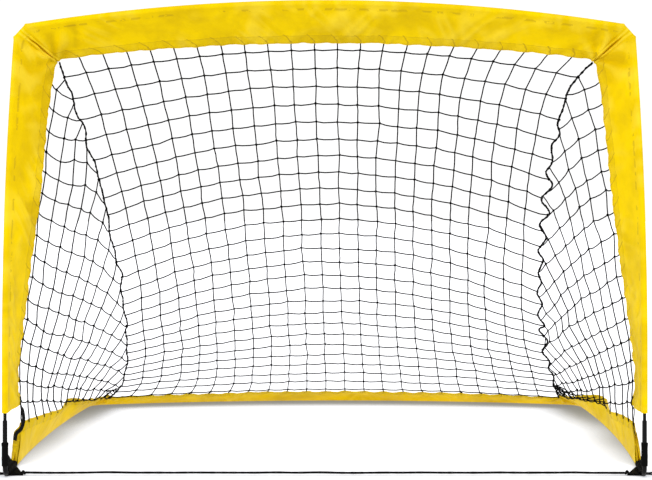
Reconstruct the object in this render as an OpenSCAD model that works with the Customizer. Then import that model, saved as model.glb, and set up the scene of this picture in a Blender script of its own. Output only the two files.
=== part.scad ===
// Pop-up practice goal: a bowed pole arch that plugs into two bent tube feet, a bowed
// U-shaped base pole, flat fabric sleeves, a back net and two side nets.
// Millimetres. +Z is up, the open mouth faces -Y, and the origin is under the middle.

/* [Goal] */
// Distance between the two foot sockets, centre to centre
goal_w = 1222; // [1150:1:1290]
// Height of the crossbar pole's centre at mid span
goal_h = 908; // [750:1:1000]
// Distance from the posts to the middle of the rear pole, centre to centre
goal_depth = 908; // [800:1:1000]
// How far the crossbar bows up above its corners
crossbar_rise = 48; // [30:1:80]
// How far each post has leaned in at its corner
post_lean = 24; // [12:1:40]
// Height at which the posts start to lean in
post_straight = 235; // [180:1:300]
// How far the base's side poles run outside the posts at the widest, centre to centre
base_flare = 40; // [25:1:70]
// Distance behind the posts at which the base is widest
base_widest_at = 580; // [450:1:650]
// How far the rear pole bows back beyond its corners
rear_bow = 76; // [40:1:110]

/* [Poles] */
// Outside diameter of the fibreglass poles
pole_d = 6.3; // [5.5:0.1:8]
// Diameter of the elastic shock cord inside the poles
shock_d = 2.5; // [2:0.1:3]
// Radial clearance of the shock cord in a pole
shock_clear = 0.25; // [0.15:0.05:0.4]
// Radial clearance of a pole in a steel tube
pole_clear = 0.1; // [0.05:0.01:0.2]
// Wall of the steel ferrules, elbows and feet
tube_wall = 1.25; // [0.8:0.05:1.6]
// Length of each ferrule
ferrule_len = 50; // [30:1:80]
// How deep a pole sits in an elbow
elbow_socket = 30; // [20:1:40]
// Bend radius of the two upper elbows
arch_bend = 42; // [30:1:55]
// Bend radius of the two rear elbows
rear_bend = 45; // [30:1:60]
// Height of the joint between the two sections of a post
post_joint_z = 470; // [350:1:600]
// Distance along a side pole from its foot to the joint of its two sections
side_joint_at = 460; // [300:1:600]
// Length of the plastic tips on the poles' free ends
tip_len = 5; // [3:0.5:8]

/* [Feet] */
// Length of each leg of a foot, from the ground or from the post's centre
foot_leg = 110; // [90:1:130]
// Depth of the pole sockets in a foot
foot_socket = 60; // [40:1:75]
// Bend radius of a foot
foot_bend = 20; // [14:1:24]
// How much the crimp under a socket narrows its bore, on each side
crimp = 0.75; // [0.4:0.05:1.2]
// How far a pole tip stands off its crimp
stop_gap = 0.3; // [0.1:0.1:0.6]
// Height of the gusset's web on the upright leg
gusset_h = 68; // [50:1:80]
// Length of the gusset along the ground leg
gusset_len = 100; // [70:1:105]
// How far the gusset's ground tip reaches inwards
gusset_tip_in = 30; // [20:1:45]
// How far the gusset's ground tip lies behind the post
gusset_tip_back = 23; // [15:1:40]
// Thickness of the gusset fabric
gusset_t = 0.8; // [0.5:0.1:1.2]

/* [Sleeves] */
// Width of the arch sleeve, from its pole edge to its hem
arch_sleeve_w = 103; // [80:1:120]
// Width of the base sleeve, from its pole edge to its hem
base_sleeve_w = 77; // [60:1:90]
// Thickness of the sleeve fabric
fabric_t = 0.6; // [0.4:0.05:1]
// Thickness of the sewn hem, with the net's edge in it
hem_t = 1.6; // [1:0.1:2.5]
// Clearance of a sleeve's channel round the steel tubes
channel_clear = 0.35; // [0.2:0.05:0.6]
// Bare pole that shows between a foot and a sleeve
bare_pole = 15; // [8:1:30]
// How far the base sleeve's hem starts ahead of its channel
hem_lead = 20; // [5:1:24]
// Angle of the crossbar band out of the arch's plane
crossbar_tilt = 48; // [35:1:60]
// Angle of a post's band out of the arch's plane, at its foot
post_tilt = 93; // [80:1:100]
// Angle of the base band above the ground, beside the feet
base_tilt_front = 88; // [75:1:95]
// Angle of the base band above the ground, at the rear corners
base_tilt_corner = 20; // [12:1:35]
// Angle of the base band above the ground, at the rear middle
base_tilt_rear = 23; // [15:1:35]

/* [Nets] */
// Thickness of the net's strands
twine = 2; // [1.5:0.1:3]
// Meshes across the back net
back_across = 16; // [12:1:17]
// Meshes down the back net
back_down = 16; // [12:1:17]
// Meshes along each edge of a side net
side_mesh = 11; // [8:1:11]
// How far the middle of the back net sags below a straight line
net_sag = 41; // [20:1:60]
// How far the seams sag below a straight line
seam_sag = 30; // [10:1:50]
// How far the net draws the seams in
seam_pull = 80; // [40:1:100]
// Diameter of the two corner seam cords
seam_d = 3.5; // [3:0.1:5]

/* [Cords and straps] */
// Diameter of the cord between the feet
ground_cord_d = 4.5; // [3.5:0.1:6]
// Diameter of the knots at its ends
knot_d = 9; // [7:0.5:10]
// Diameter of the peg loops outside the feet
loop_d = 3; // [2.5:0.1:3.5]
// Width of the elastic straps
strap_w = 10; // [8:1:14]
// Thickness of the elastic straps
strap_t = 1.5; // [1:0.1:2.5]
// How far a strap bows inwards
strap_bow = 6; // [2:1:9]

/* [Hidden] */

// Pieces that only rest on each other, or are sewn edge to edge, stay this far apart
seat_gap = 0.3;
// Sides of a sleeve's channel, and of a swept cord
channel_sides = 8;
cord_sides = 8;
// Fineness of round sections, and of a whole turn of a bend
round_fn = 48;
bend_fn = 360;
$fn = round_fn;
// A run of a track shorter than this is left out
sliver = 0.01;
// How far an elbow's sockets reach over its bend
socket_lap = 1;
// Spacing of a sleeve's rings along straight runs and round bends
ring_step = 62;
bend_step = 9;

tube_bore = pole_d + 2 * pole_clear;
tube_d = tube_bore + 2 * tube_wall;
pole_bore = shock_d + 2 * shock_clear;
channel_in = (tube_d / 2 + channel_clear) / cos(180 / channel_sides);
channel_out = channel_in + fabric_t;
// The base poles' centre: their sleeves just touch the ground
base_z = channel_out;
post_x = goal_w / 2;
base_half = goal_w / 2 + base_flare;
pole_end = foot_leg - foot_socket + stop_gap;
sleeve_start = foot_leg + bare_pole;

// ---- circles, and tracks made of straight runs and arcs ----

function deg(x) = x * 180 / PI;
function unit(v) = v / norm(v);
function on_circle(c, r, a) = c + r * [cos(a), sin(a)];
function angle_from(c, p) = atan2(p.y - c.y, p.x - c.x);
// Radius of an arc that departs by a rise over a run from its tangent
function bow_radius(run, rise) = (run * run + rise * rise) / (2 * rise);
// Where two circles cross, on the side with the larger x and y
function meet(c1, r1, c2, r2) =
    let (
        d = norm(c2 - c1),
        e = (c2 - c1) / d,
        a = (r1 * r1 - r2 * r2 + d * d) / (2 * d),
        h = sqrt(r1 * r1 - a * a),
        p = c1 + a * e + h * [-e.y, e.x],
        q = c1 + a * e - h * [-e.y, e.x]
    )
    p.x + p.y > q.x + q.y ? p : q;

// A part of a track is [start, heading, length] or [centre, radius, from, to]
function part_len(part) =
    len(part) == 3 ? part[2] : part[1] * abs(part[3] - part[2]) * PI / 180;
function track_len(track, i = 0) =
    i == len(track) ? 0 : part_len(track[i]) + track_len(track, i + 1);
// Point and heading at a distance along a track
function along(track, s, i = 0) =
    s > part_len(track[i]) && i < len(track) - 1
        ? along(track, s - part_len(track[i]), i + 1)
        : len(track[i]) == 3
            ? [on_circle(track[i][0], s, track[i][1]), track[i][1]]
            : let (a = track[i][2] + deg(s / track[i][1]))
              [on_circle(track[i][0], track[i][1], a), a + 90];

module wall_section(d, bore) {
    difference() {
        circle(d = d);
        if (bore > 0) circle(d = bore);
    }
}

module track_piece(part, a, b, d, bore) {
    if (len(part) == 3)
        translate(part[0]) rotate([0, 90, part[1]]) translate([0, 0, a])
            linear_extrude(b - a) wall_section(d, bore);
    else
        translate(part[0]) rotate([0, 0, part[2] + deg(a / part[1])])
            rotate_extrude(angle = deg((b - a) / part[1]), $fn = bend_fn)
                translate([part[1], 0]) wall_section(d, bore, $fn = round_fn);
}

// A round tube, or a rod with no bore, between two distances along a track.
// It may run on past the track's end.
module tube(track, from, to, d, bore = 0) {
    last = len(track) - 1;
    for (i = [0 : last]) {
        before = i == 0 ? 0 : track_len([for (k = [0 : i - 1]) track[k]]);
        a = max(from - before, 0);
        b = i == last ? to - before : min(to - before, part_len(track[i]));
        if (b - a > sliver) track_piece(track[i], a, b, d, bore);
    }
}

// A bent tube with two straight sockets, each in line with the run of track in it.
// The bend is a little slimmer, and its ends are the sockets' stops.
module elbow(track, from, to, radius) {
    a = along(track, from - elbow_socket / 2);
    b = along(track, to + elbow_socket / 2);
    way_a = on_circle([0, 0], 1, a[1]);
    way_b = on_circle([0, 0], 1, b[1]);
    turn = b[1] - a[1];
    corner = a[0] + cross(b[0] - a[0], way_b) / cross(way_a, way_b) * way_a;
    bend = corner - radius * tan(turn / 2) * way_a + radius * [-way_a.y, way_a.x];
    socket = elbow_socket + socket_lap;
    translate(bend) rotate([0, 0, a[1] - 90]) {
        track_piece([[radius, -elbow_socket], 90, socket], 0, socket, tube_d, tube_bore);
        track_piece([[0, 0], radius, 0, turn], 0, radius * turn * PI / 180,
                    tube_d - 2 * crimp / 3, tube_bore - 2 * crimp);
        rotate([0, 0, turn])
            track_piece([[radius, -socket_lap], 90, socket], 0, socket, tube_d, tube_bore);
    }
}

// ---- the right half of the arch, in its own plane: x across, y up ----

corner_y = goal_h - crossbar_rise;
corner_x = post_x - post_lean;
post_r = bow_radius(corner_y - post_straight, post_lean);
post_c = [post_x - post_r, post_straight];
bar_r = bow_radius(corner_x, crossbar_rise);
bar_c = [0, goal_h - bar_r];
arch_bend_c = meet(post_c, post_r - arch_bend, bar_c, bar_r - arch_bend);
arch_track = [
    [[post_x, 0], 90, post_straight],
    [post_c, post_r, 0, angle_from(post_c, arch_bend_c)],
    [arch_bend_c, arch_bend, angle_from(post_c, arch_bend_c), angle_from(bar_c, arch_bend_c)],
    [bar_c, bar_r, angle_from(bar_c, arch_bend_c), 90]
];
arch_end = track_len(arch_track);
arch_bend_from = part_len(arch_track[0]) + part_len(arch_track[1]);
arch_bend_to = arch_bend_from + part_len(arch_track[2]);
arch_mitre = (arch_bend_from + arch_bend_to) / 2;
post_joint = post_straight
    + part_len([post_c, post_r, 0, asin((post_joint_z - post_straight) / post_r)]);

// ---- the right half of the base, seen from above: x across, y back ----

// The foot's ground leg points outwards by the splay, and is in line with the side pole's
// bow at the middle of the socket
grip = foot_leg - foot_socket / 2;
splay = 2 * atan((base_half - post_x) / (base_widest_at + grip));
side_r = (base_widest_at - grip * cos(splay)) / sin(splay);
side_c = [base_half - side_r, base_widest_at];
rear_r = bow_radius(base_half, rear_bow);
rear_c = [0, goal_depth - rear_r];
rear_bend_c = meet(side_c, side_r - rear_bend, rear_c, rear_r - rear_bend);
base_track = [
    [side_c, side_r, -splay - deg(grip / side_r), angle_from(side_c, rear_bend_c)],
    [rear_bend_c, rear_bend, angle_from(side_c, rear_bend_c), angle_from(rear_c, rear_bend_c)],
    [rear_c, rear_r, angle_from(rear_c, rear_bend_c), 90]
];
base_end = track_len(base_track);
rear_bend_from = part_len(base_track[0]);
rear_bend_to = rear_bend_from + part_len(base_track[1]);
rear_mitre = (rear_bend_from + rear_bend_to) / 2;

// The y of a plan becomes the depth, so everything moves forward by half of it
module place() {
    translate([0, -goal_depth / 2, 0]) children();
}
module arch_plane() {
    place() rotate([90, 0, 0]) children();
}
module base_plane() {
    place() translate([0, 0, base_z]) children();
}
module both_sides() {
    children();
    mirror([1, 0, 0]) children();
}

// ---- poles, ferrules, elbows and shock cords ----

module arch_tube(from, to, d, bore = 0) {
    arch_plane() tube(arch_track, from, to, d, bore);
}
module base_tube(from, to, d, bore = 0) {
    base_plane() tube(base_track, from, to, d, bore);
}

module post_pole_lower_right() {
    color("dimgray")
        arch_tube(pole_end + tip_len, post_joint - seat_gap / 2, pole_d, pole_bore);
}
module post_pole_upper_right() {
    color("dimgray")
        arch_tube(post_joint + seat_gap / 2, arch_bend_from - seat_gap, pole_d, pole_bore);
}
module crossbar_pole_right() {
    color("dimgray")
        arch_tube(arch_bend_to + seat_gap, arch_end - seat_gap / 2, pole_d, pole_bore);
}
module post_ferrule_right() {
    color("silver")
        arch_tube(post_joint - ferrule_len / 2, post_joint + ferrule_len / 2, tube_d, tube_bore);
}
module crossbar_ferrule() {
    color("silver")
        arch_tube(arch_end - ferrule_len / 2, arch_end + ferrule_len / 2, tube_d, tube_bore);
}
module arch_elbow_right() {
    color("silver") arch_plane() elbow(arch_track, arch_bend_from, arch_bend_to, arch_bend);
}

module base_pole_front_right() {
    color("dimgray")
        base_tube(pole_end + tip_len, side_joint_at - seat_gap / 2, pole_d, pole_bore);
}
module base_pole_side_right() {
    color("dimgray")
        base_tube(side_joint_at + seat_gap / 2, rear_bend_from - seat_gap, pole_d, pole_bore);
}
module base_pole_rear_right() {
    color("dimgray")
        base_tube(rear_bend_to + seat_gap, base_end - seat_gap / 2, pole_d, pole_bore);
}
module base_ferrule_right() {
    color("silver") base_tube(
        side_joint_at - ferrule_len / 2, side_joint_at + ferrule_len / 2, tube_d, tube_bore
    );
}
module base_ferrule_rear() {
    color("silver")
        base_tube(base_end - ferrule_len / 2, base_end + ferrule_len / 2, tube_d, tube_bore);
}
module rear_elbow_right() {
    color("silver") base_plane() elbow(base_track, rear_bend_from, rear_bend_to, rear_bend);
}

// A plastic tip closes each free pole end and holds the shock cord's end
module pole_tip(track) {
    q = along(track, pole_end + tip_len / 2);
    translate(q[0]) rotate([0, 90, q[1]]) difference() {
        cylinder(d = pole_d, h = tip_len, center = true);
        cylinder(d = pole_bore, h = tip_len);
    }
}
module post_pole_tips() {
    color("black") arch_plane() both_sides() pole_tip(arch_track);
}
module base_pole_tips() {
    color("black") base_plane() both_sides() pole_tip(base_track);
}

// ---- feet and gussets, in the upright plane of a foot: x back, y up ----

foot_track = [
    [[0, foot_leg], -90, foot_leg - base_z - foot_bend],
    [[foot_bend, base_z + foot_bend], foot_bend, 180, 270],
    [[foot_bend, base_z], 0, foot_leg - foot_bend]
];
foot_len = track_len(foot_track);
cuff_in = tube_d / 2 + seat_gap;
cuff_out = cuff_in + gusset_t;

module foot_plane() {
    place() translate([post_x, 0, 0]) rotate([90, 0, 90 - splay]) children();
}

module foot_right() {
    color([0.13, 0.13, 0.14]) foot_plane() {
        tube(foot_track, 0, foot_socket, tube_d, tube_bore);
        tube(foot_track, foot_socket, foot_len - foot_socket, tube_d, tube_bore - 2 * crimp);
        tube(foot_track, foot_len - foot_socket, foot_len, tube_d, tube_bore);
    }
}

// The web fills the corner between the legs, and its inner edge lies in the cuffs' walls
module gusset_web() {
    wall_mid = cuff_in + gusset_t / 2;
    bend = [foot_bend, base_z + foot_bend];
    translate([0, 0, -gusset_t]) linear_extrude(2 * gusset_t) polygon(concat(
        [[wall_mid, gusset_h]],
        [for (a = [180 : 15 : 270]) on_circle(bend, foot_bend - wall_mid, a)],
        [[gusset_len, base_z + wall_mid], [gusset_len, base_z + 2 * wall_mid]]
    ));
}

module gusset_right() {
    upright_to = part_len(foot_track[0]);
    ground_from = upright_to + part_len(foot_track[1]);
    color([0.08, 0.08, 0.09]) {
        foot_plane() {
            tube(foot_track, foot_leg - gusset_h, upright_to, 2 * cuff_out, 2 * cuff_in);
            tube(foot_track, ground_from, ground_from + gusset_len - foot_bend,
                 2 * cuff_out, 2 * cuff_in);
            gusset_web();
        }
        place() translate([post_x, 0, 0]) rotate([0, 0, -splay]) linear_extrude(gusset_t)
            polygon([
                [cuff_in, foot_bend], [-gusset_tip_in, gusset_tip_back - 3],
                [-gusset_tip_in, gusset_tip_back + 3], [-cuff_in, gusset_len], [cuff_in, gusset_len]
            ]);
    }
}

// ---- hems: the free edge of each band, at a distance w from its pole's centre ----

arch_band = arch_sleeve_w - channel_out;
base_band = base_sleeve_w - channel_out;

function arch_hem_corner(w) =
    meet(post_c, post_r - w * cos(crossbar_tilt), bar_c, bar_r - w * cos(crossbar_tilt));
// The post's band turns evenly from its foot to the corner
function post_turn(z) =
    post_tilt + (crossbar_tilt - post_tilt) * (z - sleeve_start)
    / (arch_hem_corner(arch_band).y - sleeve_start);
function post_hem(z, w) =
    let (t = post_turn(z), r = post_r - w * cos(t), rise = max(z - post_c.y, 0))
    [post_c.x + sqrt(r * r - rise * rise), w * sin(t), z];
// u runs from 0 at mid span to 1 at the right corner, and to -1 at the left one
function bar_hem(u, w) =
    let (
        k = arch_hem_corner(w),
        a = 90 - u * (90 - angle_from(bar_c, k)),
        p = on_circle(bar_c, bar_r - w * cos(crossbar_tilt), a)
    )
    [p.x, w * sin(crossbar_tilt), p.y];

hem_front_y = along(base_track, sleeve_start - hem_lead)[0].y;
function base_hem_corner(w) =
    meet(side_c, side_r - w * cos(base_tilt_corner), rear_c, rear_r - w * cos(base_tilt_corner));
// The side band lies down faster and faster towards the rear corner
function side_turn(y) =
    let (t = (y - hem_front_y) / (base_hem_corner(base_band).y - hem_front_y))
    base_tilt_front + (base_tilt_corner - base_tilt_front) * pow(max(t, 0), 1.6);
function side_hem(y, w) =
    let (t = side_turn(y), r = side_r - w * cos(t), dy = y - side_c.y)
    [side_c.x + sqrt(r * r - dy * dy), y, base_z + w * sin(t)];
function rear_hem(u, w) =
    let (
        k = base_hem_corner(w),
        a = 90 - u * (90 - angle_from(rear_c, k)),
        t = base_tilt_rear + (base_tilt_corner - base_tilt_rear) * u * u,
        p = on_circle(rear_c, rear_r - w * cos(t), a)
    )
    [p.x, p.y, base_z + w * sin(t)];

// ---- sleeves: a round channel for the pole and a flat band to the hem ----

// Distances along a track, evenly spaced and no further apart than the step
function spaced(from, to, step) =
    let (n = ceil((to - from) / step)) [for (i = [0 : n]) from + (to - from) * i / n];
function but_last(list) = [for (i = [0 : len(list) - 2]) list[i]];
function reversed(list) = [for (i = [len(list) - 1 : -1 : 0]) list[i]];

function sleeve_ring(p, t, hem) =
    let (
        flat = hem - p,
        e1 = unit(flat - (flat * t) * t),
        e2 = cross(t, e1),
        turn = [for (k = [0 : channel_sides - 1]) (k + 0.5) * 360 / channel_sides]
    )
    concat(
        [for (a = turn) p + channel_out * (cos(a) * e1 + sin(a) * e2)],
        [hem - e2 * hem_t / 2, hem + e2 * hem_t / 2],
        [for (a = turn) p + channel_in * (cos(a) * e1 + sin(a) * e2)]
    );

// One closed shell: outer skin, inner channel, and the two cut ends
module sleeve(rings) {
    n = channel_sides;
    skin = n + 2;
    ring = skin + n;
    last = (len(rings) - 1) * ring;
    polyhedron(
        points = [for (r = rings) for (p = r) p],
        faces = concat(
            [for (r = [0 : len(rings) - 2]) for (i = [0 : skin - 1])
                let (a = r * ring + i, b = r * ring + (i + 1) % skin)
                each [[a, b + ring, b], [a, a + ring, b + ring]]],
            [for (r = [0 : len(rings) - 2]) for (i = [0 : n - 1])
                let (a = r * ring + skin + i, b = r * ring + skin + (i + 1) % n)
                each [[a, b, b + ring], [a, b + ring, a + ring]]],
            [for (i = [0 : n - 2])
                each [[i, i + 1, skin + i + 1], [i, skin + i + 1, skin + i]]],
            [[n - 1, 0, skin], [n - 1, skin, skin + n - 1], [n - 1, n, n + 1], [n - 1, n + 1, 0]],
            [for (i = [0 : n - 2]) each [
                [last + i, last + skin + i + 1, last + i + 1],
                [last + i, last + skin + i, last + skin + i + 1]
            ]],
            [
                [last + n - 1, last + skin, last],
                [last + n - 1, last + skin + n - 1, last + skin],
                [last + n - 1, last + n + 1, last + n],
                [last + n - 1, last, last + n + 1]
            ]
        )
    );
}

function arch_point(q) = [q[0].x, 0, q[0].y];
function arch_way(q) = [cos(q[1]), 0, sin(q[1])];
function base_point(q) = [q[0].x, q[0].y, base_z];
function base_way(q) = [cos(q[1]), sin(q[1]), 0];
function flip(v) = [-v.x, v.y, v.z];
function back_flip(v) = [v.x, -v.y, -v.z];
// The mitred ends of two sleeves stay this far from their common plane
mitre_gap = seat_gap / 2;

module post_sleeve_right() {
    stops = concat(
        but_last(spaced(sleeve_start, arch_bend_from, ring_step)),
        spaced(arch_bend_from, arch_mitre, bend_step)
    );
    top = arch_hem_corner(arch_band).y;
    color([0.98, 0.83, 0.06]) place() sleeve([for (s = stops)
        let (
            q = along(arch_track, s),
            done = (s - sleeve_start) / (arch_mitre - sleeve_start),
            hem = post_hem(sleeve_start + done * (top - sleeve_start), arch_band),
            back = s == arch_mitre ? mitre_gap : 0
        )
        sleeve_ring(arch_point(q) - back * arch_way(q), arch_way(q), hem - back * arch_way(q))
    ]);
}

module crossbar_sleeve() {
    stops = concat(
        but_last(spaced(arch_mitre, arch_bend_to, bend_step)),
        but_last(spaced(arch_bend_to, arch_end, ring_step))
    );
    half = [for (s = stops)
        let (
            q = along(arch_track, s),
            hem = bar_hem(1 - (s - arch_mitre) / (arch_end - arch_mitre), arch_band),
            on = s == arch_mitre ? mitre_gap : 0
        )
        [arch_point(q) + on * arch_way(q), arch_way(q), hem + on * arch_way(q)]
    ];
    middle = [[[0, 0, goal_h], [-1, 0, 0], bar_hem(0, arch_band)]];
    other = [for (h = reversed(half)) [flip(h[0]), back_flip(h[1]), flip(h[2])]];
    color([0.98, 0.83, 0.06]) place()
        sleeve([for (h = concat(half, middle, other)) sleeve_ring(h[0], h[1], h[2])]);
}

module base_sleeve_right() {
    stops = concat(
        but_last(spaced(sleeve_start, rear_bend_from, ring_step)),
        spaced(rear_bend_from, rear_mitre, bend_step)
    );
    end_y = base_hem_corner(base_band).y;
    color([0.98, 0.83, 0.06]) place() sleeve([for (s = stops)
        let (
            q = along(base_track, s),
            done = (s - sleeve_start) / (rear_mitre - sleeve_start),
            hem = side_hem(hem_front_y + done * (end_y - hem_front_y), base_band),
            back = s == rear_mitre ? mitre_gap : 0
        )
        sleeve_ring(base_point(q) - back * base_way(q), base_way(q), hem - back * base_way(q))
    ]);
}

module base_sleeve_rear() {
    stops = concat(
        but_last(spaced(rear_mitre, rear_bend_to, bend_step)),
        but_last(spaced(rear_bend_to, base_end, ring_step))
    );
    half = [for (s = stops)
        let (
            q = along(base_track, s),
            hem = rear_hem(1 - (s - rear_mitre) / (base_end - rear_mitre), base_band),
            on = s == rear_mitre ? mitre_gap : 0
        )
        [base_point(q) + on * base_way(q), base_way(q), hem + on * base_way(q)]
    ];
    middle = [[[0, goal_depth, base_z], [-1, 0, 0], rear_hem(0, base_band)]];
    other = [for (h = reversed(half)) [flip(h[0]), back_flip(h[1]), flip(h[2])]];
    color([0.98, 0.83, 0.06]) place()
        sleeve([for (h = concat(half, middle, other)) sleeve_ring(h[0], h[1], h[2])]);
}

// ---- nets: flat strands with open meshes between them ----

net_down = [0, -sin(45), -cos(45)];
// How far down its length the sag is at a share v, with 1 at its deepest
function sag_at(v) = pow(v, 1.5) * (1 - v) / 0.186;
function pull_at(v) = pow(max(4 * v * (1 - v), 0), 0.6);
// u runs from -1 to 1 across the back net, v from 0 at the crossbar to 1 at the base
function back_surface(u, v, inset) =
    (1 - v) * bar_hem(u, arch_band + seat_gap) + v * rear_hem(u, base_band + seat_gap)
    + (net_sag + (seam_sag - net_sag) * u * u) * sag_at(v) * net_down
    - [u * (seam_pull * pull_at(v) + inset), 0, 0];
function seam_point(v) = back_surface(1, v, 0);
seam_len = norm(seam_point(1) - seam_point(0));
// The nets stay this far from the seam cord's centre, also where it runs at a slant
seam_side = seam_d / 2 + 3 * seat_gap;

// The grid lines of a net with n meshes: both edges of every strand, from 0 to 1
function strand_edges(n, half) =
    [for (i = [0 : n]) each [i * (1 - 2 * half) / n, i * (1 - 2 * half) / n + 2 * half]];
// A net is two skins: the back one's points follow the front one's by a fixed count
function skins(a, b, c, side) = [[a, c, b], [a + side, b + side, c + side]];
function skins4(a, b, c, d, side) = concat(skins(a, b, c, side), skins(a, c, d, side));
function wall(a, b, side) = [[a, b, b + side], [a, b + side, a + side]];
// The nets' thickness lies square to the bands that they hang from
function back_across_band(v) =
    let (a = crossbar_tilt * (1 - v) + (90 - base_tilt_rear) * v) [0, cos(a), sin(a)];
function mesh_walls(k, r, e, d, side) =
    concat(wall(r, k, side), wall(e, r, side), wall(d, e, side), wall(k, d, side));

module back_net() {
    across = strand_edges(back_across, twine / goal_w);
    down = strand_edges(back_down, twine / 2 / seam_len);
    wide = len(across);
    high = len(down);
    side = wide * high;
    low = side - wide;
    function skin(k) = [for (v = down) for (u = across)
        back_surface(2 * u - 1, v, seam_side) + k * twine / 2 * back_across_band(v)];
    color([0.09, 0.09, 0.1]) place() polyhedron(
        points = concat(skin(1), skin(-1)),
        faces = concat(
            [for (b = [0 : high - 2]) for (a = [0 : wide - 2])
                let (k = b * wide + a, r = k + 1, d = k + wide, e = d + 1)
                each a % 2 == 1 && b % 2 == 1
                    ? mesh_walls(k, r, e, d, side) : skins4(k, r, e, d, side)],
            [for (a = [0 : wide - 2])
                each concat(wall(a, a + 1, side), wall(low + a + 1, low + a, side))],
            [for (k = [0 : wide : low - 1]) each concat(
                wall(k + wide, k, side), wall(k + wide - 1, k + 2 * wide - 1, side)
            )]
        )
    );
}

// A side net fills the triangle of post hem, seam and side hem. w runs back, v runs up.
net_top_drop = 12;
net_band = base_band + seat_gap;
function front_edge(v) =
    let (
        low = side_hem(hem_front_y, net_band),
        high = arch_hem_corner(arch_band + seat_gap).y - net_top_drop,
        z = low.z + v * (high - low.z),
        mid = post_hem(sleeve_start, arch_band + seat_gap),
        k = (z - low.z) / (mid.z - low.z)
    )
    z >= mid.z ? post_hem(z, arch_band + seat_gap) : low + k * (mid - low);
seam_inset = [0, seam_side * sqrt(2), 0];
function rear_edge(v) =
    let (top = net_top_drop / seam_len) seam_point(1 - v * (1 - top)) - seam_inset;
function low_edge(t) =
    side_hem(hem_front_y + t * (base_hem_corner(net_band).y - hem_front_y), net_band)
    - t * seam_inset;
function side_surface(w, v) =
    let (t = v >= 1 ? 0 : min(w / (1 - v), 1))
    (1 - t) * front_edge(v) + t * rear_edge(v)
    + (1 - v) * (low_edge(t) - (1 - t) * front_edge(0) - t * rear_edge(0));

function side_across_band(w, v) =
    let (
        t = v >= 1 ? 0 : min(w / (1 - v), 1),
        post = post_turn(front_edge(v).z),
        low = side_turn(low_edge(t).y)
    )
    unit(v * [sin(post), cos(post), 0] + (1 - v) * [sin(low), 0, cos(low)]);

module side_net_right() {
    n = side_mesh;
    edges = strand_edges(n, twine / 2 / (goal_depth - arch_sleeve_w));
    wide = len(edges);
    strip = (edges[1] - edges[0]) * 1.2;
    grid = [for (v = edges) for (w = edges) [w, v]];
    // Two more points in each mesh that the seam cuts: its corners on the seam's strand
    cut = [for (i = [0 : n - 1])
        let (j = n - 1 - i)
        each [
            [edges[2 * i + 2] - strip, edges[2 * j + 1]],
            [edges[2 * i + 1], edges[2 * j + 2] - strip]
        ]
    ];
    sheet = concat(grid, cut);
    side = len(sheet);
    function skin(k) = [for (q = sheet)
        side_surface(q.x, q.y) + k * twine / 2 * side_across_band(q.x, q.y)];
    function at(a, b) = b * wide + a;
    function low_cut(i) = len(grid) + 2 * i;
    function high_cut(i) = len(grid) + 2 * i + 1;
    color([0.09, 0.09, 0.1]) place() polyhedron(
        points = concat(skin(1), skin(-1)),
        faces = concat(
            // The strand along the seam, and the walls of the meshes that the seam cuts
            [for (i = [0 : n - 1])
                let (
                    j = n - 1 - i, c = high_cut(i), d = low_cut(i), k = at(2 * i + 1, 2 * j + 1),
                    e = at(2 * i + 1, 2 * j + 2), f = at(2 * i + 2, 2 * j + 1)
                )
                each concat(
                    skins4(c, d, f, e, side), wall(f, e, side),
                    wall(c, d, side), wall(d, k, side), wall(k, c, side)
                )
            ],
            // Crossings
            [for (j = [0 : n]) for (i = [0 : n - j])
                let (a = 2 * i, b = 2 * j)
                each i + j == n
                    ? concat(
                        skins(at(a, b), at(a + 1, b), at(a, b + 1), side),
                        wall(at(a + 1, b), at(a, b + 1), side)
                    )
                    : skins4(at(a, b), at(a + 1, b), at(a + 1, b + 1), at(a, b + 1), side)
            ],
            // Strands, with one more corner where the seam cuts the mesh beside them
            [for (j = [0 : n - 1]) for (i = [0 : n - 1 - j])
                let (
                    a = 2 * i + 1, b = 2 * j,
                    p = at(a, b), q = at(a + 1, b), r = at(a + 1, b + 1), s = at(a, b + 1)
                )
                each i + j == n - 1
                    ? concat(skins4(p, q, r, low_cut(i), side), skins(p, low_cut(i), s, side))
                    : skins4(p, q, r, s, side)
            ],
            [for (j = [0 : n - 1]) for (i = [0 : n - 1 - j])
                let (
                    a = 2 * i, b = 2 * j + 1,
                    p = at(a, b), q = at(a + 1, b), r = at(a + 1, b + 1), s = at(a, b + 1)
                )
                each i + j == n - 1
                    ? concat(skins4(p, high_cut(i), r, s, side), skins(p, q, high_cut(i), side))
                    : skins4(p, q, r, s, side)
            ],
            // Walls of the square meshes
            [for (j = [0 : n - 2]) for (i = [0 : n - 2 - j])
                let (k = at(2 * i + 1, 2 * j + 1), d = k + wide)
                each mesh_walls(k, k + 1, d + 1, d, side)
            ],
            // Outer edges along the base and the post
            [for (a = [0 : 2 * n]) each concat(
                wall(at(a, 0), at(a + 1, 0), side), wall(at(0, a + 1), at(0, a), side)
            )]
        )
    );
}

// ---- cords and straps, swept along their routes ----

function mid_way(route, i) =
    unit(route[min(i + 1, len(route) - 1)] - route[max(i - 1, 0)]);
function cross_ring(p, t, ref, r) =
    let (e1 = unit(ref - (ref * t) * t), e2 = cross(t, e1))
    [for (k = [0 : cord_sides - 1]) let (a = k * 360 / cord_sides) p + r * (cos(a) * e1 + sin(a) * e2)];

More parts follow.
